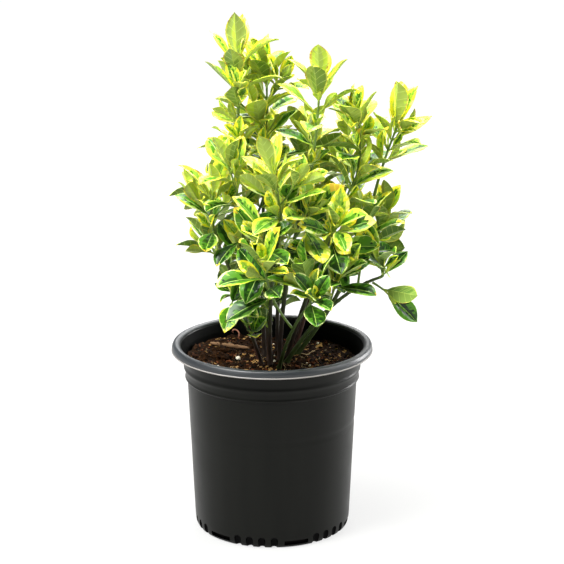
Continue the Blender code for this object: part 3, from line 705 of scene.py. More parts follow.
def limb_solid(limb, extra, sides=6):
    """Points and faces of a limb's surface, a little fuller by extra."""
    points = []
    for t in limb.places:
        points += ring_points(limb.at(t), limb.heading(t), limb.radius(t) + extra, sides)
    faces = []
    for i in range(len(limb.places) - 1):
        for j in range(sides):
            a = i * sides + j
            b = i * sides + (j + 1) % sides
            faces.append((a, b, b + sides, a + sides))
    return points, faces


def sphere_round(points):
    """Centre and reach of a sphere that holds the points."""
    centre = sum(points, Vector()) / len(points)
    return centre, max((p - centre).length for p in points)


class Crowd:
    """All that is in place already, so that the next twig or leaf keeps clear of it."""

    def __init__(self):
        self.members = []

    def add(self, mass, spray, kind, points, faces):
        tree = BVHTree.FromPolygons(points, faces)
        self.members.append((mass, spray, kind, *sphere_round(points), tree))

    def touching(self, points, faces, wanted):
        """Whether a shape touches a member that wanted(mass, spray, kind) picks."""
        centre, reach = sphere_round(points)
        tree = None
        for mass, spray, kind, other_centre, other_reach, other in self.members:
            if (centre - other_centre).length > reach + other_reach:
                continue
            if not wanted(mass, spray, kind):
                continue
            tree = tree or BVHTree.FromPolygons(points, faces)
            if tree.overlap(other):
                return True
        return False


def leaves_space(points):
    """Whether a shape would dip into the soil or reach the pot's rim."""
    for p in points:
        if p.z < (SOIL_LEVEL + SOIL_LEFT_RISE + SOIL_CLEARANCE) * MM:
            return True
        near_rim = math.hypot(p.x, p.y) > (MOUTH_RADIUS - RIM_CLEARANCE) * MM
        if near_rim and p.z < (POT_HEIGHT + RIM_CLEARANCE) * MM:
            return True
    return False


def grow_plant():
    """Stems, each shoot's sprays with the leaves that found room, and all that is in place."""
    stems = make_stems()
    crowd = Crowd()
    for name, limb in stems.items():
        crowd.add(name, 0, "stem", *limb_solid(limb, 0.0))
    sprays = {name: shoot_sprays(name, stems) for name in SHOOTS}
    for name in SHOOTS:
        crowd.add(name, 0, "twig", *limb_solid(sprays[name][0].limb, 0.0))
    plant = {}
    for name in SHOOTS:
        grown = []
        for number, spray in enumerate(sprays[name]):
            if number > 0 and not twig_has_room(crowd, name, spray):
                continue
            if number > 0:
                crowd.add(name, number, "twig", *limb_solid(spray.limb, 0.0))
            leaves = leaves_with_room(crowd, name, number, spray)
            grown.append((spray, [leaf for leaf in leaves if leaf]))
        plant[name] = grown
    return stems, plant, crowd


def leaves_with_room(crowd, name, number, spray):
    """Each leaf of a spray, or None where every try at it would touch something."""
    return [find_room(crowd, name, number, spray, place) for place in leaf_places(spray)]


def twig_has_room(crowd, name, spray):
    """Whether a side twig keeps clear of the pot, the soil and the twigs of other masses."""
    points, faces = limb_solid(spray.limb, CLEARANCE * MM)
    if leaves_space(points):
        return False
    return not crowd.touching(points, faces, lambda mass, number, kind: mass != name and kind != "blade")


def find_room(crowd, name, number, spray, place):
    """The first try at a leaf that touches nothing, or else only its own mass's leaves."""
    def foreign(mass, other, kind):
        return kind != "blade" and (mass != name or (kind == "twig" and other != number))

    def sister(mass, other, kind):
        return mass == name and kind == "blade"

    spare = None
    for change in TRIES:
        leaf = make_leaf(spray, place, change)
        points, faces = leaf_solid(leaf, 0.0, CLEARANCE * MM)
        if leaves_space(points) or crowd.touching(points, faces, foreign):
            continue
        spare = spare or leaf
        if not crowd.touching(*leaf_solid(leaf, BLADE_START), sister):
            spare = leaf
            break
    if spare:
        crowd.add(name, number, "leaf", *leaf_solid(spare))
        crowd.add(name, number, "blade", *leaf_solid(spare, BLADE_START))
    return spare


def linear(hex_colour):
    """A linear colour from an sRGB hex value."""
    channels = [int(hex_colour[i:i + 2], 16) / 255 for i in (1, 3, 5)]
    return [c / 12.92 if c <= 0.04045 else ((c + 0.055) / 1.055) ** 2.4 for c in channels] + [1.0]


def set_sockets(node, sockets):
    """Set a node's sockets to plain values, or link them."""
    for name, value in sockets.items():
        if isinstance(value, bpy.types.NodeSocket):
            node.id_data.links.new(value, node.inputs[name])
        else:
            node.inputs[name].default_value = value


def put(tree, kind, sockets=None, **settings):
    """Add a node with its settings, and set or link its sockets (6 and 7 are a mix's colours)."""
    node = tree.nodes.new("ShaderNode" + kind)
    for name, value in settings.items():
        setattr(node, name, value)
    set_sockets(node, sockets or {})
    return node


def per_metre(size):
    """A pattern's scale from the size of its features (mm)."""
    return 1 / (size * MM)


def finish(name, **sockets):
    """A material whose shader has the given plain values; returns it, its tree and its shader."""
    material = bpy.data.materials.new(name)
    material.use_nodes = True
    shader = material.node_tree.nodes["Principled BSDF"]
    set_sockets(shader, {socket.replace("_", " "): value for socket, value in sockets.items()})
    return material, material.node_tree, shader


def recess_shade_plastic():
    """The pot's polyethylene in the flutes and slots, painted near black as the shade in these recesses.
    """
    return finish("black_polyethylene_painted_shade", Base_Color=linear("#020202"), Roughness=0.35, IOR=1.5,
                  Specular_IOR_Level=0.05)[0]


def shaded_filling():
    """Compost below the surface, seen through the drain slots, painted near black as shade inside the
    pot.
    """
    return finish("compost_painted_shade", Base_Color=linear("#080504"), Roughness=0.8,
                  Specular_IOR_Level=0.1)[0]


def green_twig():
    """A twig of this year: smooth green skin with a soft gloss."""
    return finish("green_twig", Base_Color=linear("#5f7a30"), Roughness=0.5, IOR=1.45)[0]


def living_leaf(name, colour, roughness):
    """Leathery leaf with a waxy skin: a soft broad gloss over one plain tint."""
    return finish(name, Base_Color=linear(colour), Roughness=roughness, IOR=1.45,
                  Coat_Weight=0.07, Coat_Roughness=0.25, Specular_IOR_Level=0.36)[0]


# Leaf tints in the order of their slots. The blade's upper side goes from deep green at the
# midrib through light green and lime to a yellow edge; the underside is a dull olive.
LEAF_TINTS = (
    # The deep and dark greens are darker than the leaves' own green, partly painted shade of the lower
    # crown
    ("leaf_deep_green", "#123208", 0.3),
    ("leaf_dark_green", "#264f10", 0.3),
    ("leaf_green", "#4c811c", 0.32),
    ("leaf_light_green", "#8bb338", 0.38),
    ("leaf_lime", "#bbd43a", 0.4),
    ("leaf_yellow", "#ebe32f", 0.42),
    ("leaf_pale_yellow", "#eeee76", 0.44),
    ("leaf_cream", "#c9d684", 0.44),
    ("leaf_amber", "#d9b436", 0.45),
    ("leaf_midrib", "#a0c456", 0.42),
    ("leaf_underside", "#74903a", 0.5),
    ("leaf_underside_green", "#587a2b", 0.5),
    ("leaf_underside_light", "#9aae50", 0.5),
    ("leaf_underside_young", "#adc440", 0.5),
    ("leaf_underside_vein", "#b7ca6c", 0.5),
    ("leaf_underside_edge", "#d6d65c", 0.5),
    ("leaf_underside_tan", "#bd9f48", 0.55),
    ("leaf_stalk", "#93ad3a", 0.5),
)
(DEEP, DARK, GREEN, LIGHT, LIME, YELLOW, PALE, CREAM, AMBER, RIB, UNDER, UNDER_GREEN, UNDER_LIGHT,
 UNDER_YOUNG, UNDER_VEIN, UNDER_EDGE, UNDER_TAN, STALK) = range(len(LEAF_TINTS))

# Tints of the middle, of the band round it and of the margin, up to an age
BLADE_TINTS = (
    (0.25, (LIGHT, LIME, GREEN, LIGHT), (LIME, YELLOW, LIME, LIGHT), (YELLOW, PALE, YELLOW)),
    (0.5, (GREEN, LIGHT, DARK, GREEN), (LIGHT, LIME, LIGHT), (YELLOW, LIME, PALE, LIME)),
    (0.75, (DARK, GREEN, DEEP, GREEN), (GREEN, LIGHT, GREEN), (CREAM, LIME, CREAM, LIME)),
    (2.0, (DEEP, DARK, DEEP, GREEN, DARK), (DARK, GREEN, GREEN), (CREAM, LIGHT, CREAM, LIGHT)),
)

# Tints of the underside and of its margin, up to an age; veins are pale on the younger ones
UNDER_TINTS = (
    (0.3, (UNDER_YOUNG, UNDER_LIGHT), (UNDER_EDGE, YELLOW, UNDER_TAN, UNDER_EDGE)),
    (0.6, (UNDER_LIGHT, UNDER), (UNDER_EDGE, UNDER_TAN, UNDER_EDGE)),
    (2.0, (UNDER, UNDER_GREEN), (UNDER_YOUNG, UNDER_TAN, UNDER_EDGE)),
)
PALE_VEINS_TO = 0.6

# How readily tints change from row to row: margin, band, middle and the strip by the midrib,
# then the underside's two strips and its margin
TINT_JUMPS = (0.2, 0.35, 0.3, 0.3, 0.08, 0.08, 0.3)
HIGHEST_SHARE = 0.999

# The yellow tip: where it starts, nearer in on young leaves and further out on old ones, how
# much later on the second half and by the midrib, and its two tints with how common they are
TIP_FROM = (0.7, 1.1)
TIP_SOONER_YOUNG = 0.1
TIP_LATER_OLD = 0.35
TIP_OLD_FROM = 0.5
TIP_LATER_HAND = 0.05
TIP_LATER_CORE = 0.1
TIP_TINTS = ((YELLOW, PALE), (PALE, CREAM), (AMBER, YELLOW))
TIP_SHARES = (5, 2, 2)


# Black polyethylene: its name, darkest and lightest colour, least and most roughness, gloss level.
# The wall is satin; the rim is glossier, with a lighter bluish base as a painted reflection of the
# room; the lip's edge is painted pale as a highlight; the inner wall is dull, painted near black as
# shade. These are their slots.
PLASTICS = (
    ("moulded_black_polyethylene", "#090a07", "#12130f", 0.3, 0.46, 0.14),
    ("lip_painted_highlight", "#7d7975", "#9a9691", 0.4, 0.55, 0.5),
    ("rim_painted_sheen", "#13171a", "#20262a", 0.38, 0.5, 0.72),
    ("inner_wall_painted_shade", "#040504", "#080907", 0.55, 0.7, 0.04),
)
OUTER_WALL, PAINTED_HIGHLIGHT_LIP, RIM_WITH_PAINTED_SHEEN, SHADED_INNER_WALL = range(len(PLASTICS))


def pot_plastic(name, dark, light, smooth, rough, gloss):
    """Polyethylene, injection moulded: faint flow streaks, scuffs and a fine mould texture."""
    material, tree, shader = finish(name, IOR=1.5, Specular_IOR_Level=gloss)
    place = put(tree, "TexCoord").outputs["Object"]
    tall = put(tree, "Mapping", {"Vector": place, "Scale": [per_metre(s) for s in STREAKS]})
    streaks = put(tree, "TexNoise", {"Vector": tall.outputs[0], "Scale": 1.0, "Detail": 4.0})
    scuffs = put(tree, "TexNoise", {"Vector": place, "Scale": per_metre(SCUFF), "Detail": 6.0})
    blend = put(tree, "Mix", {0: streaks.outputs[0], 6: linear(dark), 7: linear(light)},
                data_type="RGBA")
    worn = put(tree, "MapRange", {"Value": scuffs.outputs[0], "To Min": smooth, "To Max": rough})
    grain = put(tree, "TexNoise", {"Vector": place, "Scale": per_metre(MOULD_TEXTURE),
                                   "Detail": 2.0})
    relief = put(tree, "Bump", {"Height": grain.outputs[0], "Strength": 0.12,
                                "Distance": TEXTURE_DEPTH * MM})
    set_sockets(shader, {"Base Color": blend.outputs[2], "Roughness": worn.outputs[0],
                         "Normal": relief.outputs[0]})
    return material


def dry_crumb(name, colour, roughness):
    """Dry, porous matter, such as bark, root fibre or perlite: one tint over a pitted surface."""
    material, tree, shader = finish(name, Base_Color=linear(colour), Roughness=roughness, IOR=1.4,
                                    Specular_IOR_Level=0.1)
    place = put(tree, "TexCoord").outputs["Object"]
    pits = put(tree, "TexNoise", {"Vector": place, "Scale": per_metre(PIT), "Detail": 4.0})
    relief = put(tree, "Bump", {"Height": pits.outputs[0], "Strength": 0.7,
                                "Distance": PIT_DEPTH * MM})
    set_sockets(shader, {"Normal": relief.outputs[0]})
    return material


def young_bark(name, brown_to, green_from, dark, light):
    """Living bark: green and smooth above, brown and furrowed towards the soil."""
    material, tree, shader = finish(name, Roughness=0.62, IOR=1.45)
    place = put(tree, "TexCoord").outputs["Object"]
    along = put(tree, "Mapping", {"Vector": place, "Scale": [per_metre(s) for s in FURROWS]})
    fibres = put(tree, "TexNoise", {"Vector": along.outputs[0], "Scale": 1.0, "Detail": 5.0})
    patches = put(tree, "TexNoise", {"Vector": place, "Scale": per_metre(BARK_PATCH),
                                     "Detail": 3.0})
    height = put(tree, "SeparateXYZ", {"Vector": place}).outputs["Z"]
    uneven = put(tree, "Math", {0: patches.outputs[0], 1: PATCH_RISE, 2: height},
                 operation="MULTIPLY_ADD")
    rise = put(tree, "MapRange", {"Value": uneven.outputs[0], "From Min": brown_to,
                                  "From Max": green_from})
    brown = put(tree, "Mix", {0: fibres.outputs[0], 6: linear(dark), 7: linear(light)},
                data_type="RGBA")
    green = put(tree, "Mix", {0: fibres.outputs[0], 6: linear("#1b280b"), 7: linear("#4e6524")},
                data_type="RGBA")
    bark = put(tree, "Mix", {0: rise.outputs[0], 6: brown.outputs[2], 7: green.outputs[2]},
               data_type="RGBA")
    relief = put(tree, "Bump", {"Height": fibres.outputs[0], "Strength": 0.35,
                                "Distance": FURROW_DEPTH * MM})
    set_sockets(shader, {"Base Color": bark.outputs[2], "Normal": relief.outputs[0]})
    return material


# Kinds of bark: its name, heights where brown ends and green begins (m), darkest and lightest
# brown. Stems that aren't named have the first kind.
BARKS = (
    ("brown_bark", 0.25, 0.33, "#0b0704", "#3a2615"),
    ("green_bark", 0.19, 0.24, "#141408", "#3c3a18"),
    ("red_bark", 0.27, 0.36, "#150804", "#542a18"),
)
BARK_OF_STEM = {
    "stem_right": 1, "branch_low_right": 1, "stem_low_front": 1,
    "stem_back_right": 2, "stem_left": 2,
}


def damp_compost():
    """Composted bark and peat, damp: dark crumbs with reddish and black ones among them."""
    material, tree, shader = finish("damp_bark_compost", Roughness=0.92, IOR=1.4,
                                    Specular_IOR_Level=0.08)
    place = put(tree, "TexCoord").outputs["Object"]
    crumbs = put(tree, "TexVoronoi", {"Vector": place, "Scale": per_metre(CRUMB)})
    damp = put(tree, "TexNoise", {"Vector": place, "Scale": per_metre(DAMP_PATCH), "Detail": 5.0})
    shade = put(tree, "SeparateColor", {0: crumbs.outputs["Color"]})
    dark = put(tree, "Mix", {0: shade.outputs[0], 6: linear("#030200"), 7: linear("#190d04")},
               data_type="RGBA")
    light = put(tree, "Mix", {0: shade.outputs[1], 6: linear("#0b0601"), 7: linear("#3b230f")},
                data_type="RGBA")
    soil = put(tree, "Mix", {0: damp.outputs[0], 6: dark.outputs[2], 7: light.outputs[2]},
               data_type="RGBA")
    relief = put(tree, "Bump", {"Height": crumbs.outputs["Distance"], "Strength": 0.8,
                                "Distance": CRUMB_DEPTH * MM})
    set_sockets(shader, {"Base Color": soil.outputs[2], "Normal": relief.outputs[0]})
    return material


# What lies in the compost, in the order of its slots: chips of pine bark, and dry litter
CHIP_TINTS = (
    ("bark_chip_black", "#0e0702", 0.85),
    ("bark_chip_brown", "#261408", 0.85),
    ("bark_chip_red", "#563018", 0.8),
    ("bark_chip_tan", "#a8834f", 0.85),
    ("bark_chip_grey", "#564832", 0.85),
)
LITTER_TINTS = (
    ("dead_twig", "#7a5e44", 0.8),
    ("pale_fibre", "#b79f78", 0.8),
    ("brown_fibre", "#4b3020", 0.8),
    ("dry_curl", "#9a6a55", 0.8),
)
TWIG_TINT, PALE_TINT, BROWN_TINT, CURL_TINT = range(len(LITTER_TINTS))


def new_object(name, data):
    """An object in the scene that shows some data."""
    obj = bpy.data.objects.new(name, data)
    bpy.context.scene.collection.objects.link(obj)
    return obj


def shaped_object(name, shape, material):
    """An object of one finish from an edited shape, which is then let go."""
    mesh = bpy.data.meshes.new(name)
    shape.to_mesh(mesh)
    shape.free()
    mesh.materials.append(material)
    return new_object(name, mesh)


class Skin:
    """Points, faces and finishes of many small surfaces that become one piece."""

    def __init__(self):
        self.points = []
        self.faces = []
        self.slots = []
        self.triangles = 0

    def add(self, points, faces, slots):
        first = len(self.points)
        self.points += points
        self.faces += [tuple(first + i for i in face) for face in faces]
        self.slots += slots
        self.triangles += sum(len(face) - 2 for face in faces)

    def add_tube(self, points, sides, slot):
        """A tube of one finish, closed by a point at each end."""
        faces = tube_faces((len(points) - 2) // sides, sides)
        self.add(points, faces, [slot] * len(faces))

    def piece(self, name, materials, sharp_from=None):
        """The mesh object, smooth but for edges sharper than an angle in degrees."""
        mesh = bpy.data.meshes.new(name)
        mesh.from_pydata(self.points, [], self.faces)
        for material in materials:
            mesh.materials.append(material)
        mesh.polygons.foreach_set("material_index", self.slots)
        mesh.shade_smooth()
        if sharp_from:
            mesh.set_sharp_from_angle(angle=math.radians(sharp_from))
        return new_object(name, mesh)


def place_piece(obj, slot, *nodes):
    """Fix a piece to the plant's body, and hide the solids of some nodes; the slot is not used."""
    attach(obj, "root")
    if nodes:
        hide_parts(*nodes)


def tube_faces(rings, sides):
    """Faces of a tube with a point at each end: its first and last points, rings between."""
    last = 1 + rings * sides
    faces = [(0, 1 + (i + 1) % sides, 1 + i) for i in range(sides)]
    for ring in range(rings - 1):
        a = 1 + ring * sides
        for i in range(sides):
            j = (i + 1) % sides
            faces.append((a + i, a + j, a + sides + j, a + sides + i))
    a = 1 + (rings - 1) * sides
    faces += [(a + i, a + (i + 1) % sides, last) for i in range(sides)]
    return faces


def clamp(value, low=0.0, high=1.0):
    """The value, kept between two limits."""
    return min(high, max(low, value))


def wander(draw, count, low, high, jump):
    """Values that drift between two limits from one row to the next."""
    value = draw.uniform(low, high)
    values = []
    for _ in range(count):
        value = clamp(value + draw.uniform(-jump, jump), low, high)
        values.append(value)
    return values


def leaf_age(leaf, draw, finer):
    """How green a leaf has grown, from 0 for a yellow young one to 1 for a deep green one."""
    if finer:
        return draw.uniform(*FINER_AGES)
    # Low leaves are made older and so darker, partly as painted shade of the lower crown
    bright = clamp((leaf.root.z / MM - YOUNG_FROM) / (YOUNG_FULL - YOUNG_FROM))
    return clamp(draw.uniform(*AGE_SPREAD) + AGE_OF_PAIR * leaf.pair + AGE_AND_SHADE_OF_LOW * (1 - bright))


def leaf_rows(leaf):
    """Shares of the length at which the leaf's skin has a row of points."""
    count = BLADE_ROWS if leaf.length > SMALL_LEAF * MM else SMALL_BLADE_ROWS
    steps = [VEIN_STEP if i % VEIN_EVERY == 0 else 1.0 for i in range(count)]
    blade = (1 - STALK_SHARE) * LAST_ROW / sum(steps)
    return STALK_ROWS + [STALK_SHARE + blade * sum(steps[:i + 1]) for i in range(count)]


def leaf_spine(leaf, tip_curl):
    """Spots, headings and faces along the midrib, with its tip curled further."""
    spine = []
    spot = leaf.root.copy()
    for i in range(SPINE_STEPS + 1):
        u = i / SPINE_STEPS
        heading, face = bent(leaf, leaf.curl * u + tip_curl * max(0.0, u - TIP_CURL_FROM) ** 2)
        spine.append((spot, heading, face))
        spot = spot + heading * (leaf.length * LONGER / SPINE_STEPS)
    return spine


def on_spine(spine, u):
    """Spot, heading and face at a share of the midrib."""
    i = min(int(u * SPINE_STEPS), SPINE_STEPS - 1)
    return [a.lerp(b, u * SPINE_STEPS - i) for a, b in zip(spine[i], spine[i + 1])]


def make_outline(draw):
    """The half width of one leaf's blade at a share of its length, 1 at its widest."""
    base = draw.uniform(*OUTLINE_BASES)
    shoulder = draw.uniform(*OUTLINE_SHOULDERS)
    tip = draw.uniform(*OUTLINE_TIPS)

    def half(s):
        return s ** base * (1 - s ** shoulder) ** tip

    most = max(half(i / OUTLINE_STEPS) for i in range(OUTLINE_STEPS + 1))
    return lambda s: half(clamp(s)) / most


def band_edges(draw, rows, age, band, nearer_in):
    """Where a band of colour ends on each row of one half of a leaf, nearer in at the tip."""
    young, older, spread = band
    low = young + older * age
    values = wander(draw, len(rows), low, low + spread, BAND_JUMP)
    return [value * (1 - nearer_in * u ** NEARER_IN_POWER) for value, u in zip(values, rows)]


def tint_rows(draw, count, tints, jump):
    """A tint for each row, that holds for a few rows before it changes."""
    value = draw.random()
    picked = []
    for _ in range(count):
        value = clamp(value + draw.uniform(-jump, jump), 0.0, HIGHEST_SHARE)
        picked.append(tints[int(value * len(tints))])
    return picked


def tints_at(table, age):
    """The tints that a table gives for a leaf's age."""
    return next(tints for limit, *tints in table if age < limit)


def leaf_slots(rows, draw, age):
    """The tint of every face of one leaf, in the order of the rows of its skin."""
    middle, band, margin = tints_at(BLADE_TINTS, age)
    below, below_edge = tints_at(UNDER_TINTS, age)
    groups = (margin, band, middle, middle, below, below, below_edge)
    last = len(rows) - 1
    hands = [[tint_rows(draw, len(rows), *tints) for tints in zip(groups, TINT_JUMPS)]
             for _ in range(2)]
    tip_from = draw.uniform(*TIP_FROM) - TIP_SOONER_YOUNG * (1 - age)
    tip_from += TIP_LATER_OLD * max(0.0, age - TIP_OLD_FROM)
    tip = draw.choices(TIP_TINTS, TIP_SHARES)[0]
    slots = []
    # The faces that close the skin at each end have the tints of the row beside them
    for row in [0, *range(last), last]:
        if rows[row] < STALK_SHARE:
            slots += [STALK] * RING
            continue
        upper = []
        lower = []
        for hand, tints in enumerate(hands):
            edge, ring, mid, core, under, under_core, under_edge = [tint[row] for tint in tints]
            if rows[row] > tip_from + TIP_LATER_HAND * hand:
                edge = tip[row % 3 == 0]
                ring = edge
                mid = edge
                core = edge if rows[row] > tip_from + TIP_LATER_CORE else core
            if (row - len(STALK_ROWS) + 1) % VEIN_EVERY == 0:
                under = UNDER_VEIN if age < PALE_VEINS_TO else UNDER_LIGHT
                under_core = under
            upper.append([edge, edge, ring, mid, core, RIB])
            lower.append([under_edge, under, under_core, UNDER_LIGHT])
        slots += upper[0] + upper[1][::-1] + lower[1] + lower[0][::-1]
    return slots


def row_places(middles, bands):
    """Shares of the half width and side, 1 over or -1 under, of the points round one row."""
    over = []
    under = []
    for i, o in zip(middles, bands):
        o = min(BAND_MOST, o)
        i = max(BAND_LEAST, min(i, o - BANDS_APART))
        over.append((1.0, (1 + o) / 2, o, i, max(i / 2, RIB_HALF * RIB_FOOT), RIB_HALF))
        under.append(((1 + o) / 2, i, RIB_HALF))
    upper = [-q for q in over[0]] + [0.0, *reversed(over[1])]
    lower = [*under[1], 0.0] + [-q for q in reversed(under[0])]
    return [(q, 1) for q in upper] + [(q, -1) for q in lower]


def blade_point(leaf, form, row, u, q, side):
    """A point of the skin on a row, at shares of the length and of the half width."""
    blade = max(0.0, (u - STALK_SHARE) / (1 - STALK_SHARE))
    reach = abs(q)
    arch = math.sin(math.pi * reach)
    s = blade + VEIN_LEAN * reach * blade * (1 - blade)
    v = u if blade <= 0 else STALK_SHARE + (1 - STALK_SHARE) * s
    spot, heading, face = on_spine(form.spine, v)
    stalk = max(0.0, 1 - s * STALK_TAPER)
    half = form.outline(s) * leaf.width * WIDER / 2 * (1 + TOOTH * (-1) ** row)
    half = max(half, STALK_HALF * MM * stalk)
    thick = (SKIN_THICK / 2 + (STALK_HALF - SKIN_THICK / 2) * stalk) * MM
    fold = leaf.fold * FOLD_MORE * (1 - stalk)
    lift = reach * half * math.sin(fold) * (1 - form.roll * reach * reach)
    lift += form.camber * half * arch * (1 - stalk)
    vein = 1.0 if (row - len(STALK_ROWS) + 1) % VEIN_EVERY < 2 else PUCKER_BETWEEN
    lift -= PUCKER * MM * vein * arch * math.sin(math.pi * min(1.0, s * PUCKER_END))
    wave = form.wave * reach ** 2 * math.sin(WAVE_TURNS * s + form.turns[q > 0])
    lift += wave * min(1.0, WAVE_START * s)
    body = thick * math.sqrt(1 - min(1.0, q * q))
    if reach <= RIB_HALF:
        body += RIB_THICK * MM * (1 - s) if side < 0 else -RIB_GROOVE * MM * (1 - stalk)
    across_half = q * half * math.cos(fold)
    return spot + heading.cross(face) * across_half + face * (lift + side * body)


def leaf_skin(skin, leaf, draw, age):
    """One finished leaf: stalk, folded and puckered blade, toothed edge and variegation."""
    rows = leaf_rows(leaf)
    form = Form(
        spine=leaf_spine(leaf, math.radians(draw.uniform(*TIP_CURLS))),
        outline=make_outline(draw),
        roll=draw.uniform(*ROLLS),
        wave=draw.uniform(*WAVES) * MM,
        camber=draw.uniform(*CAMBERS),
        turns=[draw.uniform(0, 2 * math.pi) for _ in range(2)],
    )
    nearer_in = NEARER_IN - NEARER_IN_OLD * age
    middles = [band_edges(draw, rows, age, MIDDLE_END, nearer_in) for _ in range(2)]
    bands = [band_edges(draw, rows, age, BAND_END, nearer_in * NEARER_IN_BAND) for _ in range(2)]
    points = [leaf.root.copy()]
    for row, u in enumerate(rows):
        places = row_places([ends[row] for ends in middles], [ends[row] for ends in bands])
        points += [blade_point(leaf, form, row, u, q, side) for q, side in places]
    points.append(form.spine[-1][0])
    skin.add(points, tube_faces(len(rows), RING), leaf_slots(rows, draw, age))


def leaf_skins(skin, seed, leaves, finer):
    """The finished leaves of one spray, where they found room."""
    for count, leaf in enumerate(leaves):
        if leaf:
            draw = random.Random(f"{seed}-{count}")
            leaf_skin(skin, leaf, draw, leaf_age(leaf, draw, finer))


def twig_skin(skin, limb, nodes, back):
    """A green twig, swollen where its leaves sit, starting a little inside what carries it."""
    count = max(TWIG_LEAST_RINGS, int(limb.length / (TWIG_STEP * MM)))
    points = [limb.root - limb.heading(0) * (back + TWIG_END * MM)]
    for ring in range(count + 1):
        t = ring / count
        spot = limb.at(t)
        if ring == 0:
            spot = spot - limb.heading(0) * back
        swell = sum(math.exp(-((t - node) * limb.length / (NODE_REACH * MM)) ** 2) for node in nodes)
        radius = limb.radius(t) + NODE_SWELL * MM * min(1.0, swell)
        points += ring_points(spot, limb.heading(t), radius, TWIG_SIDES)
    points.append(limb.tip + limb.heading(1) * TWIG_THIN * MM)
    skin.add_tube(points, TWIG_SIDES, 0)


def short_limb(root, tip, thick=SHORT_THICK * MM, thin=SHORT_THIN * MM):
    """A short straight twig."""
    return Limb(root, root.lerp(tip, 0.5), tip, thick, thin, SIDE_TWIG_RINGS)


def bud_spray(spray):
    """The youngest pair of leaves, still upright inside the top rosette."""
    limb = spray.limb
    tip = limb.tip + limb.heading(1) * BUD_LENGTH * MM
    bud = short_limb(limb.tip, tip, limb.thin, limb.thin / 2)
    size = spray.top_leaf * BUD_LEAF_SHARE
    return Spray(bud, 1, size, size, spray.turn + 90, f"{spray.seed}-bud")


def axil_sprays(spray, leaves):
    """Short shoots in the axils of the lower leaves, each with one pair of small leaves."""
    for leaf in leaves:
        draw = random.Random(f"{spray.seed}-{leaf.pair}-{leaf.length:.5f}")
        if leaf.pair < FIRST_AXIL or draw.random() > AXIL_SHARE:
            continue
        heading = spray.limb.heading(node_place(spray.limb, leaf.pair))
        out = (leaf.along - heading * leaf.along.dot(heading)).normalized()
        tip = leaf.root + lean(heading, out, AXIL_OPENING) * draw.uniform(*AXIL_LENGTHS) * MM
        size = draw.uniform(*AXIL_LEAVES) * MM
        seed = f"{spray.seed}-{leaf.pair}-axil"
        yield Spray(short_limb(leaf.root, tip), 1, size, size, draw.uniform(0, 180), seed)


def node_sprays(name, spray):
    """Side shoots at the older nodes of a twig, below its own leaves."""
    limb = spray.limb
    draw = random.Random(f"{name}-{spray.seed}")
    for pair in range(spray.pairs, len(OPEN_ANGLES)):
        if below_tip(pair) > limb.length * LOWEST_PAIR:
            return
        t = node_place(limb, pair)
        heading = limb.heading(t)
        for side in range(2):
            turn = spray.turn + 90 * pair + 180 * side + draw.uniform(-TURN_SPREAD, TURN_SPREAD)
            launch = lean(heading, across(heading, turn), NODE_OPENING)
            tip = limb.at(t) + launch * draw.uniform(*NODE_LENGTHS) * MM
            size = draw.uniform(*NODE_LEAVES) * MM
            if draw.random() < NODE_SHARE:
                shoot = short_limb(limb.at(t), tip)
                seed = f"{spray.seed}-{pair}-{side}-node"
                top_leaf = size * NODE_TOP_SHARE
                yield Spray(shoot, NODE_PAIRS, top_leaf, size, draw.uniform(0, 180), seed)


def foot_sprays(name, limb):
    """Short shoots with a pair or two of small leaves, straight from the lower part of a stem."""
    draw = random.Random(name)
    run = FOOT_SHOOTS_FROM * MM
    while run < min(limb.length * FOOT_SHOOTS_SHARE, FOOT_SHOOTS_TO * MM):
        t = run / limb.length
        heading = limb.heading(t)
        launch = lean(heading, across(heading, draw.uniform(0, 360)), AXIL_OPENING)
        root = limb.at(t)
        tip = root + launch * (limb.radius(t) + draw.uniform(*FOOT_SHOOT_LENGTHS) * MM)
        size = draw.uniform(*FOOT_LEAVES) * MM
        seed = f"{name}-{run:.4f}"
        yield Spray(short_limb(root, tip), FOOT_PAIRS, size, size, draw.uniform(0, 180), seed)
        run += draw.uniform(*FOOT_SHOOT_STEPS) * MM


def leafy_stem(twigs, leaves, crowd, name, stem):
    """The small leaves low on a stem, on twigs of their own."""
    for spray in foot_sprays(name, stem):
        found = leaves_with_room(crowd, name, 0, spray)
        if any(found):
            twig_skin(twigs, spray.limb, [], 0.0)
        leaf_skins(leaves, spray.seed, found, False)


def leafy_shoot(twigs, leaves, crowd, name, grown):
    """One mass: its twigs and leaves as in the solid, then the finer growth on them."""
    bigger = BIGGER_LEAVES.get(name, 1.0)
    for number, (spray, main) in enumerate(grown):
        main = [leaf._replace(length=leaf.length * bigger, width=leaf.width * bigger) for leaf in main]
        finer = [bud_spray(spray), *axil_sprays(spray, main)]
        if number == 0 and name in FULL_SHOOTS:
            finer += node_sprays(name, spray)
        nodes = sorted({node_place(spray.limb, leaf.pair) for leaf in main})
        twig_skin(twigs, spray.limb, nodes, TWIG_SUNK * MM if number == 0 else 0.0)
        found = []
        for small in finer:
            found.append([leaf for leaf in leaves_with_room(crowd, name, number, small) if leaf])
            twig_skin(twigs, small.limb, [], 0.0)
        leaf_skins(leaves, f"{name}-{spray.seed}", main, False)
        for small, group in zip(finer, found):
            leaf_skins(leaves, f"{name}-{small.seed}", group, True)


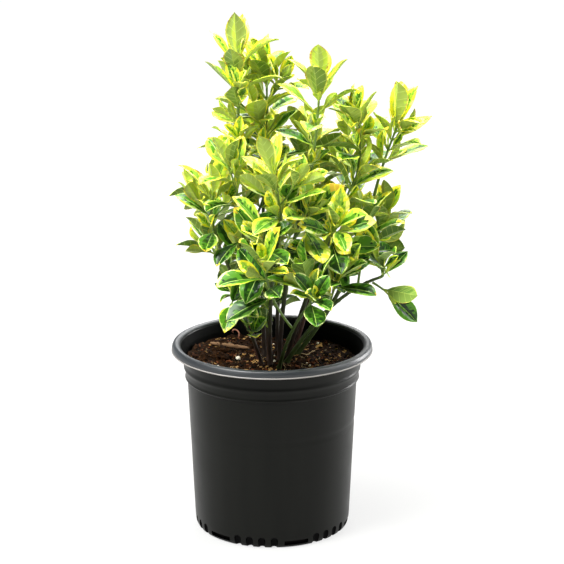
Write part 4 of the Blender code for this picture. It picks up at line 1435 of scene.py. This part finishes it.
def build_leaves_and_twigs(stems, plant, crowd):
    """Leaf pieces and the twig piece, grown on from the same sprays as the solids."""
    tints = [living_leaf(*tint) for tint in LEAF_TINTS]
    twigs = Skin()
    leaves = Skin()
    for name in LEAFY_STEMS:
        leafy_stem(twigs, leaves, crowd, name, stems[name])
    masses = []
    number = 1
    for name, grown in plant.items():
        leafy_shoot(twigs, leaves, crowd, name, grown)
        masses.append("foliage_" + name)
        if leaves.triangles > PIECE_TRIANGLES or name == list(plant)[-1]:
            piece = leaves.piece(f"leaves_{number}", tints, LEAF_EDGE_ANGLE)
            place_piece(piece, "variegated_leaf", *masses)
            leaves = Skin()
            masses = []
            number += 1
    piece = twigs.piece("twigs", [green_twig()], TWIG_EDGE_ANGLE)
    place_piece(piece, "variegated_leaf", *["foliage_" + name for name in plant])


def polar(radius, angle):
    """Place at a radius and an angle round the pot's axis."""
    return radius * math.cos(angle), radius * math.sin(angle)


def stem_skin(skin, name, limb):
    """One stem's bark: flared foot, fine ridges and a pair of leaf scars every 22 mm."""
    count = int(limb.length / (BARK_STEP * MM))
    below = limb.root - limb.heading(0) * BARK_BELOW * MM
    points = [below - limb.heading(0) * MM]
    shift = random.Random(name).uniform(*RIDGE_SHIFTS)
    for ring in range(-1, count + 1):
        t = max(0, ring) / count
        spot = limb.at(t) if ring >= 0 else below
        heading = limb.heading(t)
        height = (limb.at(t).z - limb.root.z) / (FLARE_HEIGHT * MM)
        radius = limb.radius(t) * BARK_THINNER * (1 + FLARE * max(0.0, 1 - height) ** 2)
        run = t * limb.length / MM
        node = round(run / SCAR_SPACING)
        near = math.exp(-((run - node * SCAR_SPACING) / SCAR_REACH) ** 2) if node > 0 else 0.0
        for i in range(BARK_SIDES):
            angle = 360 * i / BARK_SIDES
            out = across(heading, angle)
            ridge = noise.noise(Vector((out.x * RIDGES_ROUND, out.y * RIDGES_ROUND,
                                        run / RIDGE_LENGTH + shift)))
            knobs = noise.noise(spot / MM * KNOB_SCALE + out * KNOBS_ROUND)
            scar = near * max(0.0, math.cos(math.radians(2 * (angle - 90 * node)))) ** 2
            relief = BARK_RIDGE * ridge + BARK_KNOB * knobs + SCAR_RISE * (SCAR_RING * near + scar)
            points.append(spot + out * (radius + relief * MM))
    points.append(limb.tip + limb.heading(1) * limb.thin * BARK_TIP)
    skin.add_tube(points, BARK_SIDES, BARK_OF_STEM.get(name, 0))


def build_bark(stems):
    """The bark of all bare stems and the bough, as one piece."""
    skin = Skin()
    for name, limb in stems.items():
        stem_skin(skin, name, limb)
    bark = skin.piece("bark", [young_bark(*kind) for kind in BARKS], BARK_EDGE_ANGLE)
    place_piece(bark, "green_bark", *stems)


def soil_height(x, y):
    """Height of the compost in mm, as in the solid: level in the middle, uneven further out."""
    radius = math.hypot(x, y)
    share = max(0.0, (radius - SOIL_RINGS[0]) / (WALL_TOP_RADIUS - SOIL_RINGS[0]))
    angle = math.atan2(y, x)
    swell = math.sin(3 * angle + 0.6) + 0.7 * math.sin(5 * angle + radius / 9)
    left = max(0.0, -math.cos(angle)) * SOIL_LEFT_RISE
    return SOIL_LEVEL + share * (left + SOIL_SWELL * swell * 0.6)


def crumbled(x, y):
    """Height of the compost with its lumps, crumbs and grit (mm)."""
    height = soil_height(x, y)
    for spacing, level, most in SOIL_BUMPS:
        height += most * noise.noise(Vector((x / spacing, y / spacing, level)))
    return height


def inner_wall(gap):
    """Radius and height of the corners down the inside of the pot, clear of it by a gap (mm)."""
    return [
        (STEP_RADIUS - (WALL + gap), STEP_HEIGHT + 2.4),
        (WALL_TOP_RADIUS - (WALL + gap), STEP_HEIGHT - 0.8 - gap),
        (FOOT_RADIUS - (WALL + gap), FOOT_HEIGHT + 6.0),
        (FOOT_RADIUS - FOOT_WALL - gap, FOOT_HEIGHT + 2.0),
        (FOOT_RADIUS - FOOT_WALL - 1.0 - gap, FLOOR + gap),
    ]


def build_compost():
    """The compost: a crumbly top on a filling that follows the inside of the pot."""
    gap = GAP / MM
    side = inner_wall(gap)
    surface = side[0][0]
    rings = [(surface * (i / SOIL_GRID), None) for i in range(1, SOIL_GRID + 1)] + side
    points = [mm(0, 0, crumbled(0, 0))]
    for radius, height in rings:
        for i in range(SOIL_SIDES):
            x, y = polar(radius, 2 * math.pi * i / SOIL_SIDES)
            points.append(mm(x, y, crumbled(x, y) if height is None else height))
    points.append(mm(0, 0, FLOOR + gap))
    faces = [tuple(reversed(face)) for face in tube_faces(len(rings), SOIL_SIDES)]
    top = SOIL_SIDES * SOIL_GRID
    skin = Skin()
    # The top has the compost's finish; the sides and bottom are painted near black as shade
    skin.add(points, faces, [0] * top + [1] * (len(faces) - top))
    compost = skin.piece("compost", [damp_compost(), shaded_filling()], SOIL_EDGE_ANGLE)
    place_piece(compost, "bark_compost", "soil")


def free_spot(draw, stems, most):
    """A place on the compost (mm), clear of the stems' feet."""
    while True:
        radius = most * math.sqrt(draw.random())
        x, y = polar(radius, draw.uniform(0, 2 * math.pi))
        feet = [limb.root for limb in stems.values()]
        if all(math.hypot(x - foot.x / MM, y - foot.y / MM) > STEM_ROOM for foot in feet):
            return x, y


def chip_points(draw, x, y, length):
    """Eight corners of a flat, crooked chip that lies half sunk in the compost."""
    turn = Matrix.Rotation(draw.uniform(0, 2 * math.pi), 3, "Z")
    tilt = Matrix.Rotation(draw.uniform(-CHIP_TILT, CHIP_TILT), 3, "X")
    tilt = tilt @ Matrix.Rotation(draw.uniform(-CHIP_TILT, CHIP_TILT), 3, "Y")
    width = length * draw.uniform(*CHIP_WIDTHS)
    thick = length * draw.uniform(*CHIP_THICKS)
    centre = mm(x, y, crumbled(x, y) + thick * draw.uniform(*CHIP_LIFTS))
    corners = []
    for i in range(8):
        reach = [draw.uniform(*CHIP_CORNERS) * (1 if i >> axis & 1 else -1) for axis in range(3)]
        corner = Vector((reach[0] * length / 2, reach[1] * width / 2, reach[2] * thick / 2))
        corners.append(centre + turn @ tilt @ corner * MM)
    return corners


CHIP_FACES = [(0, 2, 3, 1), (4, 5, 7, 6), (0, 1, 5, 4), (2, 6, 7, 3), (0, 4, 6, 2), (1, 3, 7, 5)]


def build_chips(stems):
    """Chips of pine bark on the compost: many small crumbs and a few large flakes."""
    draw = random.Random(CHIP_SEED)
    skin = Skin()
    for i in range(CHIPS):
        length = draw.uniform(*(CHIP_LENGTHS if i % FLAKE_EVERY else FLAKE_LENGTHS))
        x, y = free_spot(draw, stems, CHIP_REACH - length / 2)
        tint = draw.choices(range(len(CHIP_TINTS)), CHIP_SHARES)[0]
        skin.add(chip_points(draw, x, y, length), CHIP_FACES, [tint] * len(CHIP_FACES))
    chips = skin.piece("bark_chips", [dry_crumb(*tint) for tint in CHIP_TINTS], CHIP_EDGE_ANGLE)
    place_piece(chips, "bark_compost")


def lumps(name, balls, detail, bumps, flatter, material):
    """Balls, each with its middle and radius, that noise has made uneven, as one piece."""
    shape = bmesh.new()
    for middle, radius in balls:
        place = Matrix.Translation(middle)
        ball = bmesh.ops.create_icosphere(shape, subdivisions=detail, radius=radius, matrix=place)
        for corner in ball["verts"]:
            bump = sum(most * noise.noise(corner.co / MM * scale) for scale, most in bumps)
            away = (corner.co - middle) * (1 + bump)
            corner.co = middle + Vector((away.x, away.y, away.z * flatter))
    return shaped_object(name, shape, material)


def build_clods():
    """Clods of matted peat and bark, heaped towards the left and the back."""
    draw = random.Random(CLOD_SEED)
    balls = []
    for _ in range(CLODS):
        angle = math.radians(draw.uniform(*CLOD_SIDE))
        x, y = polar(draw.uniform(*CLOD_PLACES), angle)
        size = draw.uniform(*CLOD_SIZES)
        balls.append((mm(x, y, soil_height(x, y) + size * draw.uniform(*CLOD_LIFTS)), size * MM))
    clods = lumps("clods", balls, CLOD_DETAIL, CLOD_BUMPS, CLOD_FLATTER, damp_compost())
    place_piece(clods, "bark_compost")


def rod(skin, path, thick, slot, sides=ROD_SIDES):
    """A thin crooked rod through points, such as a dead twig or a root fibre."""
    last = len(path) - 1
    points = [path[0]]
    for i, spot in enumerate(path):
        heading = (path[min(i + 1, last)] - path[max(i - 1, 0)]).normalized()
        share = 1 - ROD_TAPER * abs(2 * i / last - 1) ** 3
        for j in range(sides):
            out = across(heading, 360 * j / sides)
            rough = 1 + ROD_ROUGH * noise.noise(spot / MM * ROD_GRAIN + out)
            points.append(spot + out * thick * share * rough * MM)
    points.append(path[-1])
    skin.add_tube(points, sides, slot)


def lying_path(draw, x, y, length, turn, bend, lift):
    """Points of a line that lies on the compost and wanders a little (mm)."""
    steps = max(FIBRE_LEAST_STEPS, int(length / FIBRE_STEP))
    path = []
    for _ in range(steps + 1):
        path.append(mm(x, y, crumbled(x, y) + lift + draw.uniform(*FIBRE_WAVES)))
        turn += draw.uniform(-bend, bend)
        x += math.cos(turn) * length / steps
        y += math.sin(turn) * length / steps
    return path


def dead_twig(skin):
    """A dead twig that lies on the compost, straight and brittle."""
    start, end = [mm(x, y, soil_height(x, y) + DEAD_TWIG_LIFT) for x, y in DEAD_TWIG]
    path = [start.lerp(end, k / DEAD_TWIG_STEPS) for k in range(DEAD_TWIG_STEPS + 1)]
    rod(skin, path, DEAD_TWIG_THICK, TWIG_TINT, DEAD_TWIG_SIDES)


def bark_curl(skin):
    """A strip of bark that has curled up as it dried."""
    path = []
    for k in range(CURL_POINTS):
        reach = CURL_REACH - CURL_TIGHTER * k
        side, rise = polar(reach, math.radians(CURL_TURN * k + CURL_START))
        path.append(mm(CURL[0] + side, CURL[1] + k, soil_height(*CURL) + CURL_LIFT + rise))
    rod(skin, path, CURL_THICK, CURL_TINT)


def build_litter(stems):
    """A dead twig, a curl of bark and pale root fibres that lie on the compost."""
    draw = random.Random(LITTER_SEED)
    skin = Skin()
    dead_twig(skin)
    rod(skin, lying_path(draw, *PALE_FIBRE), PALE_FIBRE_THICK, PALE_TINT)
    bark_curl(skin)
    for _ in range(FIBRES):
        x, y = free_spot(draw, stems, CHIP_REACH - FIBRE_ROOM)
        length = draw.uniform(*FIBRE_LENGTHS)
        path = lying_path(draw, x, y, length, draw.uniform(0, 2 * math.pi), FIBRE_BEND, FIBRE_LIFT)
        path = [spot for spot in path if math.hypot(spot.x, spot.y) < CHIP_REACH * MM]
        if len(path) >= FIBRE_LEAST_POINTS:
            tints = (TWIG_TINT, PALE_TINT, BROWN_TINT)
            rod(skin, path, draw.uniform(*FIBRE_THICKS), draw.choice(tints), FIBRE_SIDES)
    litter = skin.piece("litter", [dry_crumb(*tint) for tint in LITTER_TINTS])
    place_piece(litter, "bark_compost")


def build_perlite(stems):
    """White grains of perlite, mostly 1.5 to 3 mm, scattered in the compost."""
    draw = random.Random(GRAIN_SEED)
    spots = [free_spot(draw, stems, CHIP_REACH - GRAIN_ROOM) for _ in range(SMALL_GRAINS)]
    grains = [*LARGE_GRAINS, *[(*spot, draw.uniform(*GRAIN_SIZES)) for spot in spots]]
    balls = [(mm(x, y, crumbled(x, y) + size * GRAIN_LIFT), size / 2 * MM) for x, y, size in grains]
    white = dry_crumb("expanded_perlite", "#d9d2bd", 0.9)
    perlite = lumps("perlite", balls, GRAIN_DETAIL, GRAIN_BUMPS, 1.0, white)
    perlite.data.shade_smooth()
    place_piece(perlite, "bark_compost")


def rounded(corners):
    """The outline with each corner rounded by its own radius, where its sides are long enough."""
    outline = []
    for i, (radius, height, round_by) in enumerate(corners):
        here = Vector((radius, height))
        if i in (0, len(corners) - 1):
            outline.append(here)
            continue
        before = Vector(corners[i - 1][:2]) - here
        after = Vector(corners[i + 1][:2]) - here
        reach = min(round_by, before.length * CORNER_SHARE, after.length * CORNER_SHARE)
        start = here + before.normalized() * reach
        end = here + after.normalized() * reach
        for k in range(CORNER_STEPS + 1):
            t = k / CORNER_STEPS
            outline.append(start * (1 - t) ** 2 + here * 2 * t * (1 - t) + end * t ** 2)
    return outline


def pot_outline():
    """The pot's section, rounded, from the middle of the underside round to the floor inside."""
    bead = COLLAR_BEAD_HEIGHT
    collar = COLLAR_RADIUS + COLLAR_FULLER
    rise = bead - STEP_HEIGHT
    bead_radius = STEP_RADIUS + (collar - STEP_RADIUS) * rise / (LIP_HEIGHT - STEP_HEIGHT)
    # Radius, height and rounding of each corner (mm)
    foot_and_wall = [
        (0.0, 0.0, 0.0),
        (UNDERSIDE_RADIUS, 0.0, 0.8),
        (FOOT_RADIUS - 2.2, 1.4, 0.8),
        (FOOT_RADIUS - 0.7, 5.0, 1.0),
        (FOOT_RADIUS, FOOT_HEIGHT, 2.0),
        (WALL_TOP_RADIUS, STEP_HEIGHT - 0.8, 0.6),
    ]
    step_and_collar = [
        (STEP_RADIUS - 0.2, STEP_HEIGHT + 0.3, 0.5),
        (STEP_RADIUS + 0.8, STEP_HEIGHT + 1.6, 0.7),
        (STEP_RADIUS - 0.1, STEP_HEIGHT + 4.0, 1.0),
        (bead_radius - 1.0, bead - 4.0, 2.5),
        (bead_radius + 0.9, bead, 1.2),
        (bead_radius - 0.3, bead + 3.8, 2.0),
        (collar, LIP_HEIGHT - 4.3, 1.0),
    ]
    rim_and_lip = [
        (MOUTH_RADIUS + 1.4, POT_HEIGHT - 4.4, 1.0),
        (CREST_RADIUS - 0.6, POT_HEIGHT - 2.2, 0.6),
        (RIM_RADIUS - 2.2, LIP_HEIGHT + 3.4, 0.5),
        (RIM_RADIUS - 1.8, LIP_HEIGHT, 0.2),
        (RIM_RADIUS + 0.1, LIP_HEIGHT, 0.15),
        (RIM_RADIUS + 0.1, LIP_HEIGHT + 0.8, 0.2),
        (RIM_RADIUS - 0.6, LIP_HEIGHT + 1.5, 0.2),
        (RIM_RADIUS - 0.2, POT_HEIGHT - 4.8, 1.2),
        (RIM_RADIUS - 1.7, POT_HEIGHT - 1.2, 0.9),
        (CREST_RADIUS + 0.6, POT_HEIGHT, 0.9),
        (CREST_RADIUS - 2.6, POT_HEIGHT - 0.6, 1.2),
        (MOUTH_RADIUS, POT_HEIGHT - 2.8, 1.2),
    ]
    inside = [(COLLAR_RADIUS - WALL + COLLAR_FULLER, LIP_HEIGHT - 4.3, 1.0)]
    inside += [(*corner, by) for corner, by in zip(inner_wall(0.0), (1.0, 1.0, 1.0, 1.0, 0.5))]
    inside.append((0.0, FLOOR, 0.0))
    return rounded(foot_and_wall + step_and_collar + rim_and_lip + inside)


def with_wall_rows(outline):
    """The outline with rows of points up the outside of the wall, so that it can be uneven."""
    rows = [outline[0]]
    for corner in outline[1:]:
        before = rows[-1]
        if corner.x > FOOT_RADIUS and corner.y - before.y > 10 * WALL_STEP:
            count = round((corner.y - before.y) / WALL_STEP)
            rows += [before.lerp(corner, k / count) for k in range(1, count)]
        rows.append(corner)
    return rows


def wall_swell(corner, angle):
    """How far the outside of the thin wall swells or dips (mm)."""
    share = (corner.y - FOOT_HEIGHT) / (STEP_HEIGHT - FOOT_HEIGHT)
    if corner.x < FOOT_RADIUS or not WALL_WAVE_FROM < share < 1 - WALL_WAVE_FROM:
        return 0.0
    around = Vector((*polar(1.0, angle), 0.0)) * WALL_WAVE_TURN
    wave = noise.noise(around + Vector((0.0, 0.0, corner.y / WALL_WAVE_RISE)))
    ring = math.exp(-((corner.y - STACK_RING) / STACK_RING_HALF) ** 2)
    side = max(0.0, math.cos(angle - STACK_RING_SIDE)) ** 0.5
    return WALL_WAVE * wave * math.sin(math.pi * share) - STACK_RING_DEPTH * ring * side


def flute_cutter(shape, angle):
    """An upright capsule that hollows one round-topped flute out of the foot."""
    turn = Matrix.Rotation(math.radians(angle), 4, "Z")
    shoulder = FLUTE_TOP + FLUTE_HIGHER - FLUTE_HALF
    stations = [(1.0, FLUTE_HOLLOW_BELOW, FLUTE_BELOW), (1.0, FLUTE_HOLLOW_BELOW, FLUTE_STEP[0]),
                (1.0, FLUTE_HOLLOW, FLUTE_STEP[1])]
    for arch in range(0, 90, FLUTE_ARCH_STEP):
        reach, rise = polar(1.0, math.radians(arch))
        stations.append((reach, reach * FLUTE_HOLLOW, shoulder + FLUTE_HALF * rise))
    points = [turn @ mm(0, -FOOT_RADIUS, 2 * FLUTE_BELOW)]
    for reach, hollow, height in stations:
        for i in range(FLUTE_SIDES):
            along, out = polar(1.0, 2 * math.pi * i / FLUTE_SIDES)
            points.append(turn @ mm(reach * FLUTE_HALF * along, -FOOT_RADIUS + hollow * out, height))
    points.append(turn @ mm(0, -FOOT_RADIUS, shoulder + FLUTE_HALF))
    corners = [shape.verts.new(point) for point in points]
    for face in tube_faces(len(stations), FLUTE_SIDES):
        shape.faces.new([corners[i] for i in face])


def slot_cutter(shape, angle):
    """A block that opens one wide drain slot through the foot."""
    turn = Matrix.Rotation(math.radians(angle), 4, "Z")
    size = mm(SLOT_WIDTH, SLOT_REACH, SLOT_TOP - SLOT_BOTTOM)
    place = Matrix.Translation(mm(0, -FOOT_RADIUS, (SLOT_TOP + SLOT_BOTTOM) / 2))
    bmesh.ops.create_cube(shape, size=1.0, matrix=turn @ place @ Matrix.Diagonal((*size, 1.0)))


def foot_cutter():
    """All flutes and drain slots as one object to cut with."""
    shape = bmesh.new()
    sector = 360 / FOOT_REPEATS
    for repeat in range(FOOT_REPEATS):
        for i in range(FLUTES):
            middle = FLUTE_MIDDLE + (i - (FLUTES - 1) / 2) * FLUTE_PITCH
            flute_cutter(shape, middle + sector * repeat)
        slot_cutter(shape, SLOT_MIDDLE + sector * repeat)
    bmesh.ops.recalc_face_normals(shape, faces=shape.faces)
    # Its near-black finish passes to the cut faces, painted shade in the flutes and slots
    return shaped_object("foot_cutter", shape, recess_shade_plastic())


def cut_foot(pot):
    """Cut the flutes and the drain slots out of the pot's foot."""
    cutter = foot_cutter()
    cut = pot.modifiers.new("foot", "BOOLEAN")
    cut.operation = "DIFFERENCE"
    cut.solver = "EXACT"
    # The cut faces take the cutter's near-black finish, painted shade
    cut.material_mode = "TRANSFER"
    cut.object = cutter
    bpy.context.view_layer.update()
    graph = bpy.context.evaluated_depsgraph_get()
    finished = bpy.data.meshes.new_from_object(pot.evaluated_get(graph))
    pot.modifiers.clear()
    pot.data = finished
    bpy.data.objects.remove(cutter)
    finished.set_sharp_from_angle(angle=math.radians(POT_EDGE_ANGLE))


def pot_slot(corners):
    """The finish of one face of the pot's outside, from its corners."""
    reach = max(corner.xy.length for corner in corners) / MM
    high = max(corner.z for corner in corners) / MM
    low = min(corner.z for corner in corners) / MM
    # The lip's outermost edge is painted pale, a painted highlight
    if reach > RIM_RADIUS - LIP_IN and high < LIP_HEIGHT + LIP_RISE:
        return PAINTED_HIGHLIGHT_LIP
    # The rim gets a lighter bluish base, a painted reflection of the room, with a higher gloss
    if low > LIP_HEIGHT + RIM_RISE and reach > MOUTH_RADIUS + RIM_OUT:
        return RIM_WITH_PAINTED_SHEEN
    return OUTER_WALL


def build_pot():
    """The nursery pot, turned from its section, with flutes and drain slots cut round its foot."""
    outline = with_wall_rows(pot_outline())
    points = [mm(0, 0, 0)]
    for corner in outline[1:-1]:
        for i in range(POT_SIDES):
            angle = 2 * math.pi * i / POT_SIDES
            points.append(mm(*polar(corner.x + wall_swell(corner, angle), angle), corner.y))
    points.append(mm(0, 0, FLOOR))
    faces = tube_faces(len(outline) - 2, POT_SIDES)
    # Each step of the outline is one ring of faces; those past the mouth line the inside
    mouth = max(i for i, corner in enumerate(outline) if corner.y > LIP_HEIGHT) * POT_SIDES
    slots = [pot_slot([points[i] for i in face]) for face in faces[:mouth]]
    # The inside is painted near black, as painted shade
    slots += [SHADED_INNER_WALL] * (len(faces) - mouth)
    skin = Skin()
    skin.add(points, faces, slots)
    pot = skin.piece("nursery_pot", [pot_plastic(*kind) for kind in PLASTICS])
    cut_foot(pot)
    place_piece(pot, "pot_plastic", "pot")


def pale_paper():
    """White paper, lit from behind further off so that it stays as white as in front."""
    material, tree, shader = finish("pale_paper", Base_Color=linear("#6a6a68"), Roughness=0.9,
                                    Specular_IOR_Level=0.1, Emission_Color=linear("#ffffff"))
    place = put(tree, "TexCoord").outputs["Object"]
    distance = put(tree, "VectorMath", {0: place}, operation="LENGTH").outputs["Value"]
    near, far = PAPER_REACH
    glow = put(tree, "MapRange", {"Value": distance, "From Min": near, "From Max": far,
                                  "To Min": PAPER_GLOW[0], "To Max": PAPER_GLOW[1]})
    set_sockets(shader, {"Emission Strength": glow.outputs[0]})
    return material


def build_floor():
    """A seamless pale floor, far larger than the view."""
    mesh = bpy.data.meshes.new("floor")
    mesh.from_pydata(FLOOR_CORNERS, [], [(0, 1, 2, 3)])
    mesh.materials.append(pale_paper())
    floor = new_object("floor", mesh)


def soft_box(name, place, target, width, height, power):
    """A rectangular soft box that looks at a point."""
    lamp = bpy.data.lights.new(name, "AREA")
    lamp.shape = "RECTANGLE"
    lamp.size = width
    lamp.size_y = height
    lamp.energy = power
    box = new_object(name, lamp)
    box.location = place
    box.rotation_euler = (Vector(target) - Vector(place)).to_track_quat("-Z", "Y").to_euler()


def pale_room():
    """A pale room round the stage, bright low down and dim overhead."""
    world = bpy.data.worlds.new("pale_room")
    world.use_nodes = True
    tree = world.node_tree
    way = put(tree, "TexCoord").outputs["Generated"]
    rise = put(tree, "SeparateXYZ", {"Vector": way}).outputs["Z"]
    low, high = ROOM_RISE
    shade = put(tree, "MapRange", {"Value": rise, "From Min": low, "From Max": high,
                                   "To Min": ROOM_STRENGTHS[0], "To Max": ROOM_STRENGTHS[1]})
    set_sockets(tree.nodes["Background"], {"Color": linear("#fbfcff"), "Strength": shade.outputs[0]})
    bpy.context.scene.world = world


def light_studio():
    """High key: soft boxes overhead, at the sides, behind and low on the right, in a pale room."""
    pale_room()
    for name, box in SOFT_BOXES.items():
        soft_box(name, *box)
    bpy.context.scene.view_settings.view_transform = "Standard"


def place_camera():
    """The photograph's view: from the front, looking down by about 15 degrees."""
    lens = bpy.data.cameras.new("camera")
    lens.sensor_width = SENSOR
    lens.lens = LENS
    camera = new_object("camera", lens)
    camera.location = CAMERA_PLACE
    camera.rotation_euler = (math.radians(90 - CAMERA_DOWN), 0, 0)
    bpy.context.scene.camera = camera


stems, plant, crowd = grow_plant()
build_bark(stems)
build_leaves_and_twigs(stems, plant, crowd)
build_compost()
build_chips(stems)
build_clods()
build_litter(stems)
build_perlite(stems)
build_pot()
build_floor()
light_studio()
place_camera()
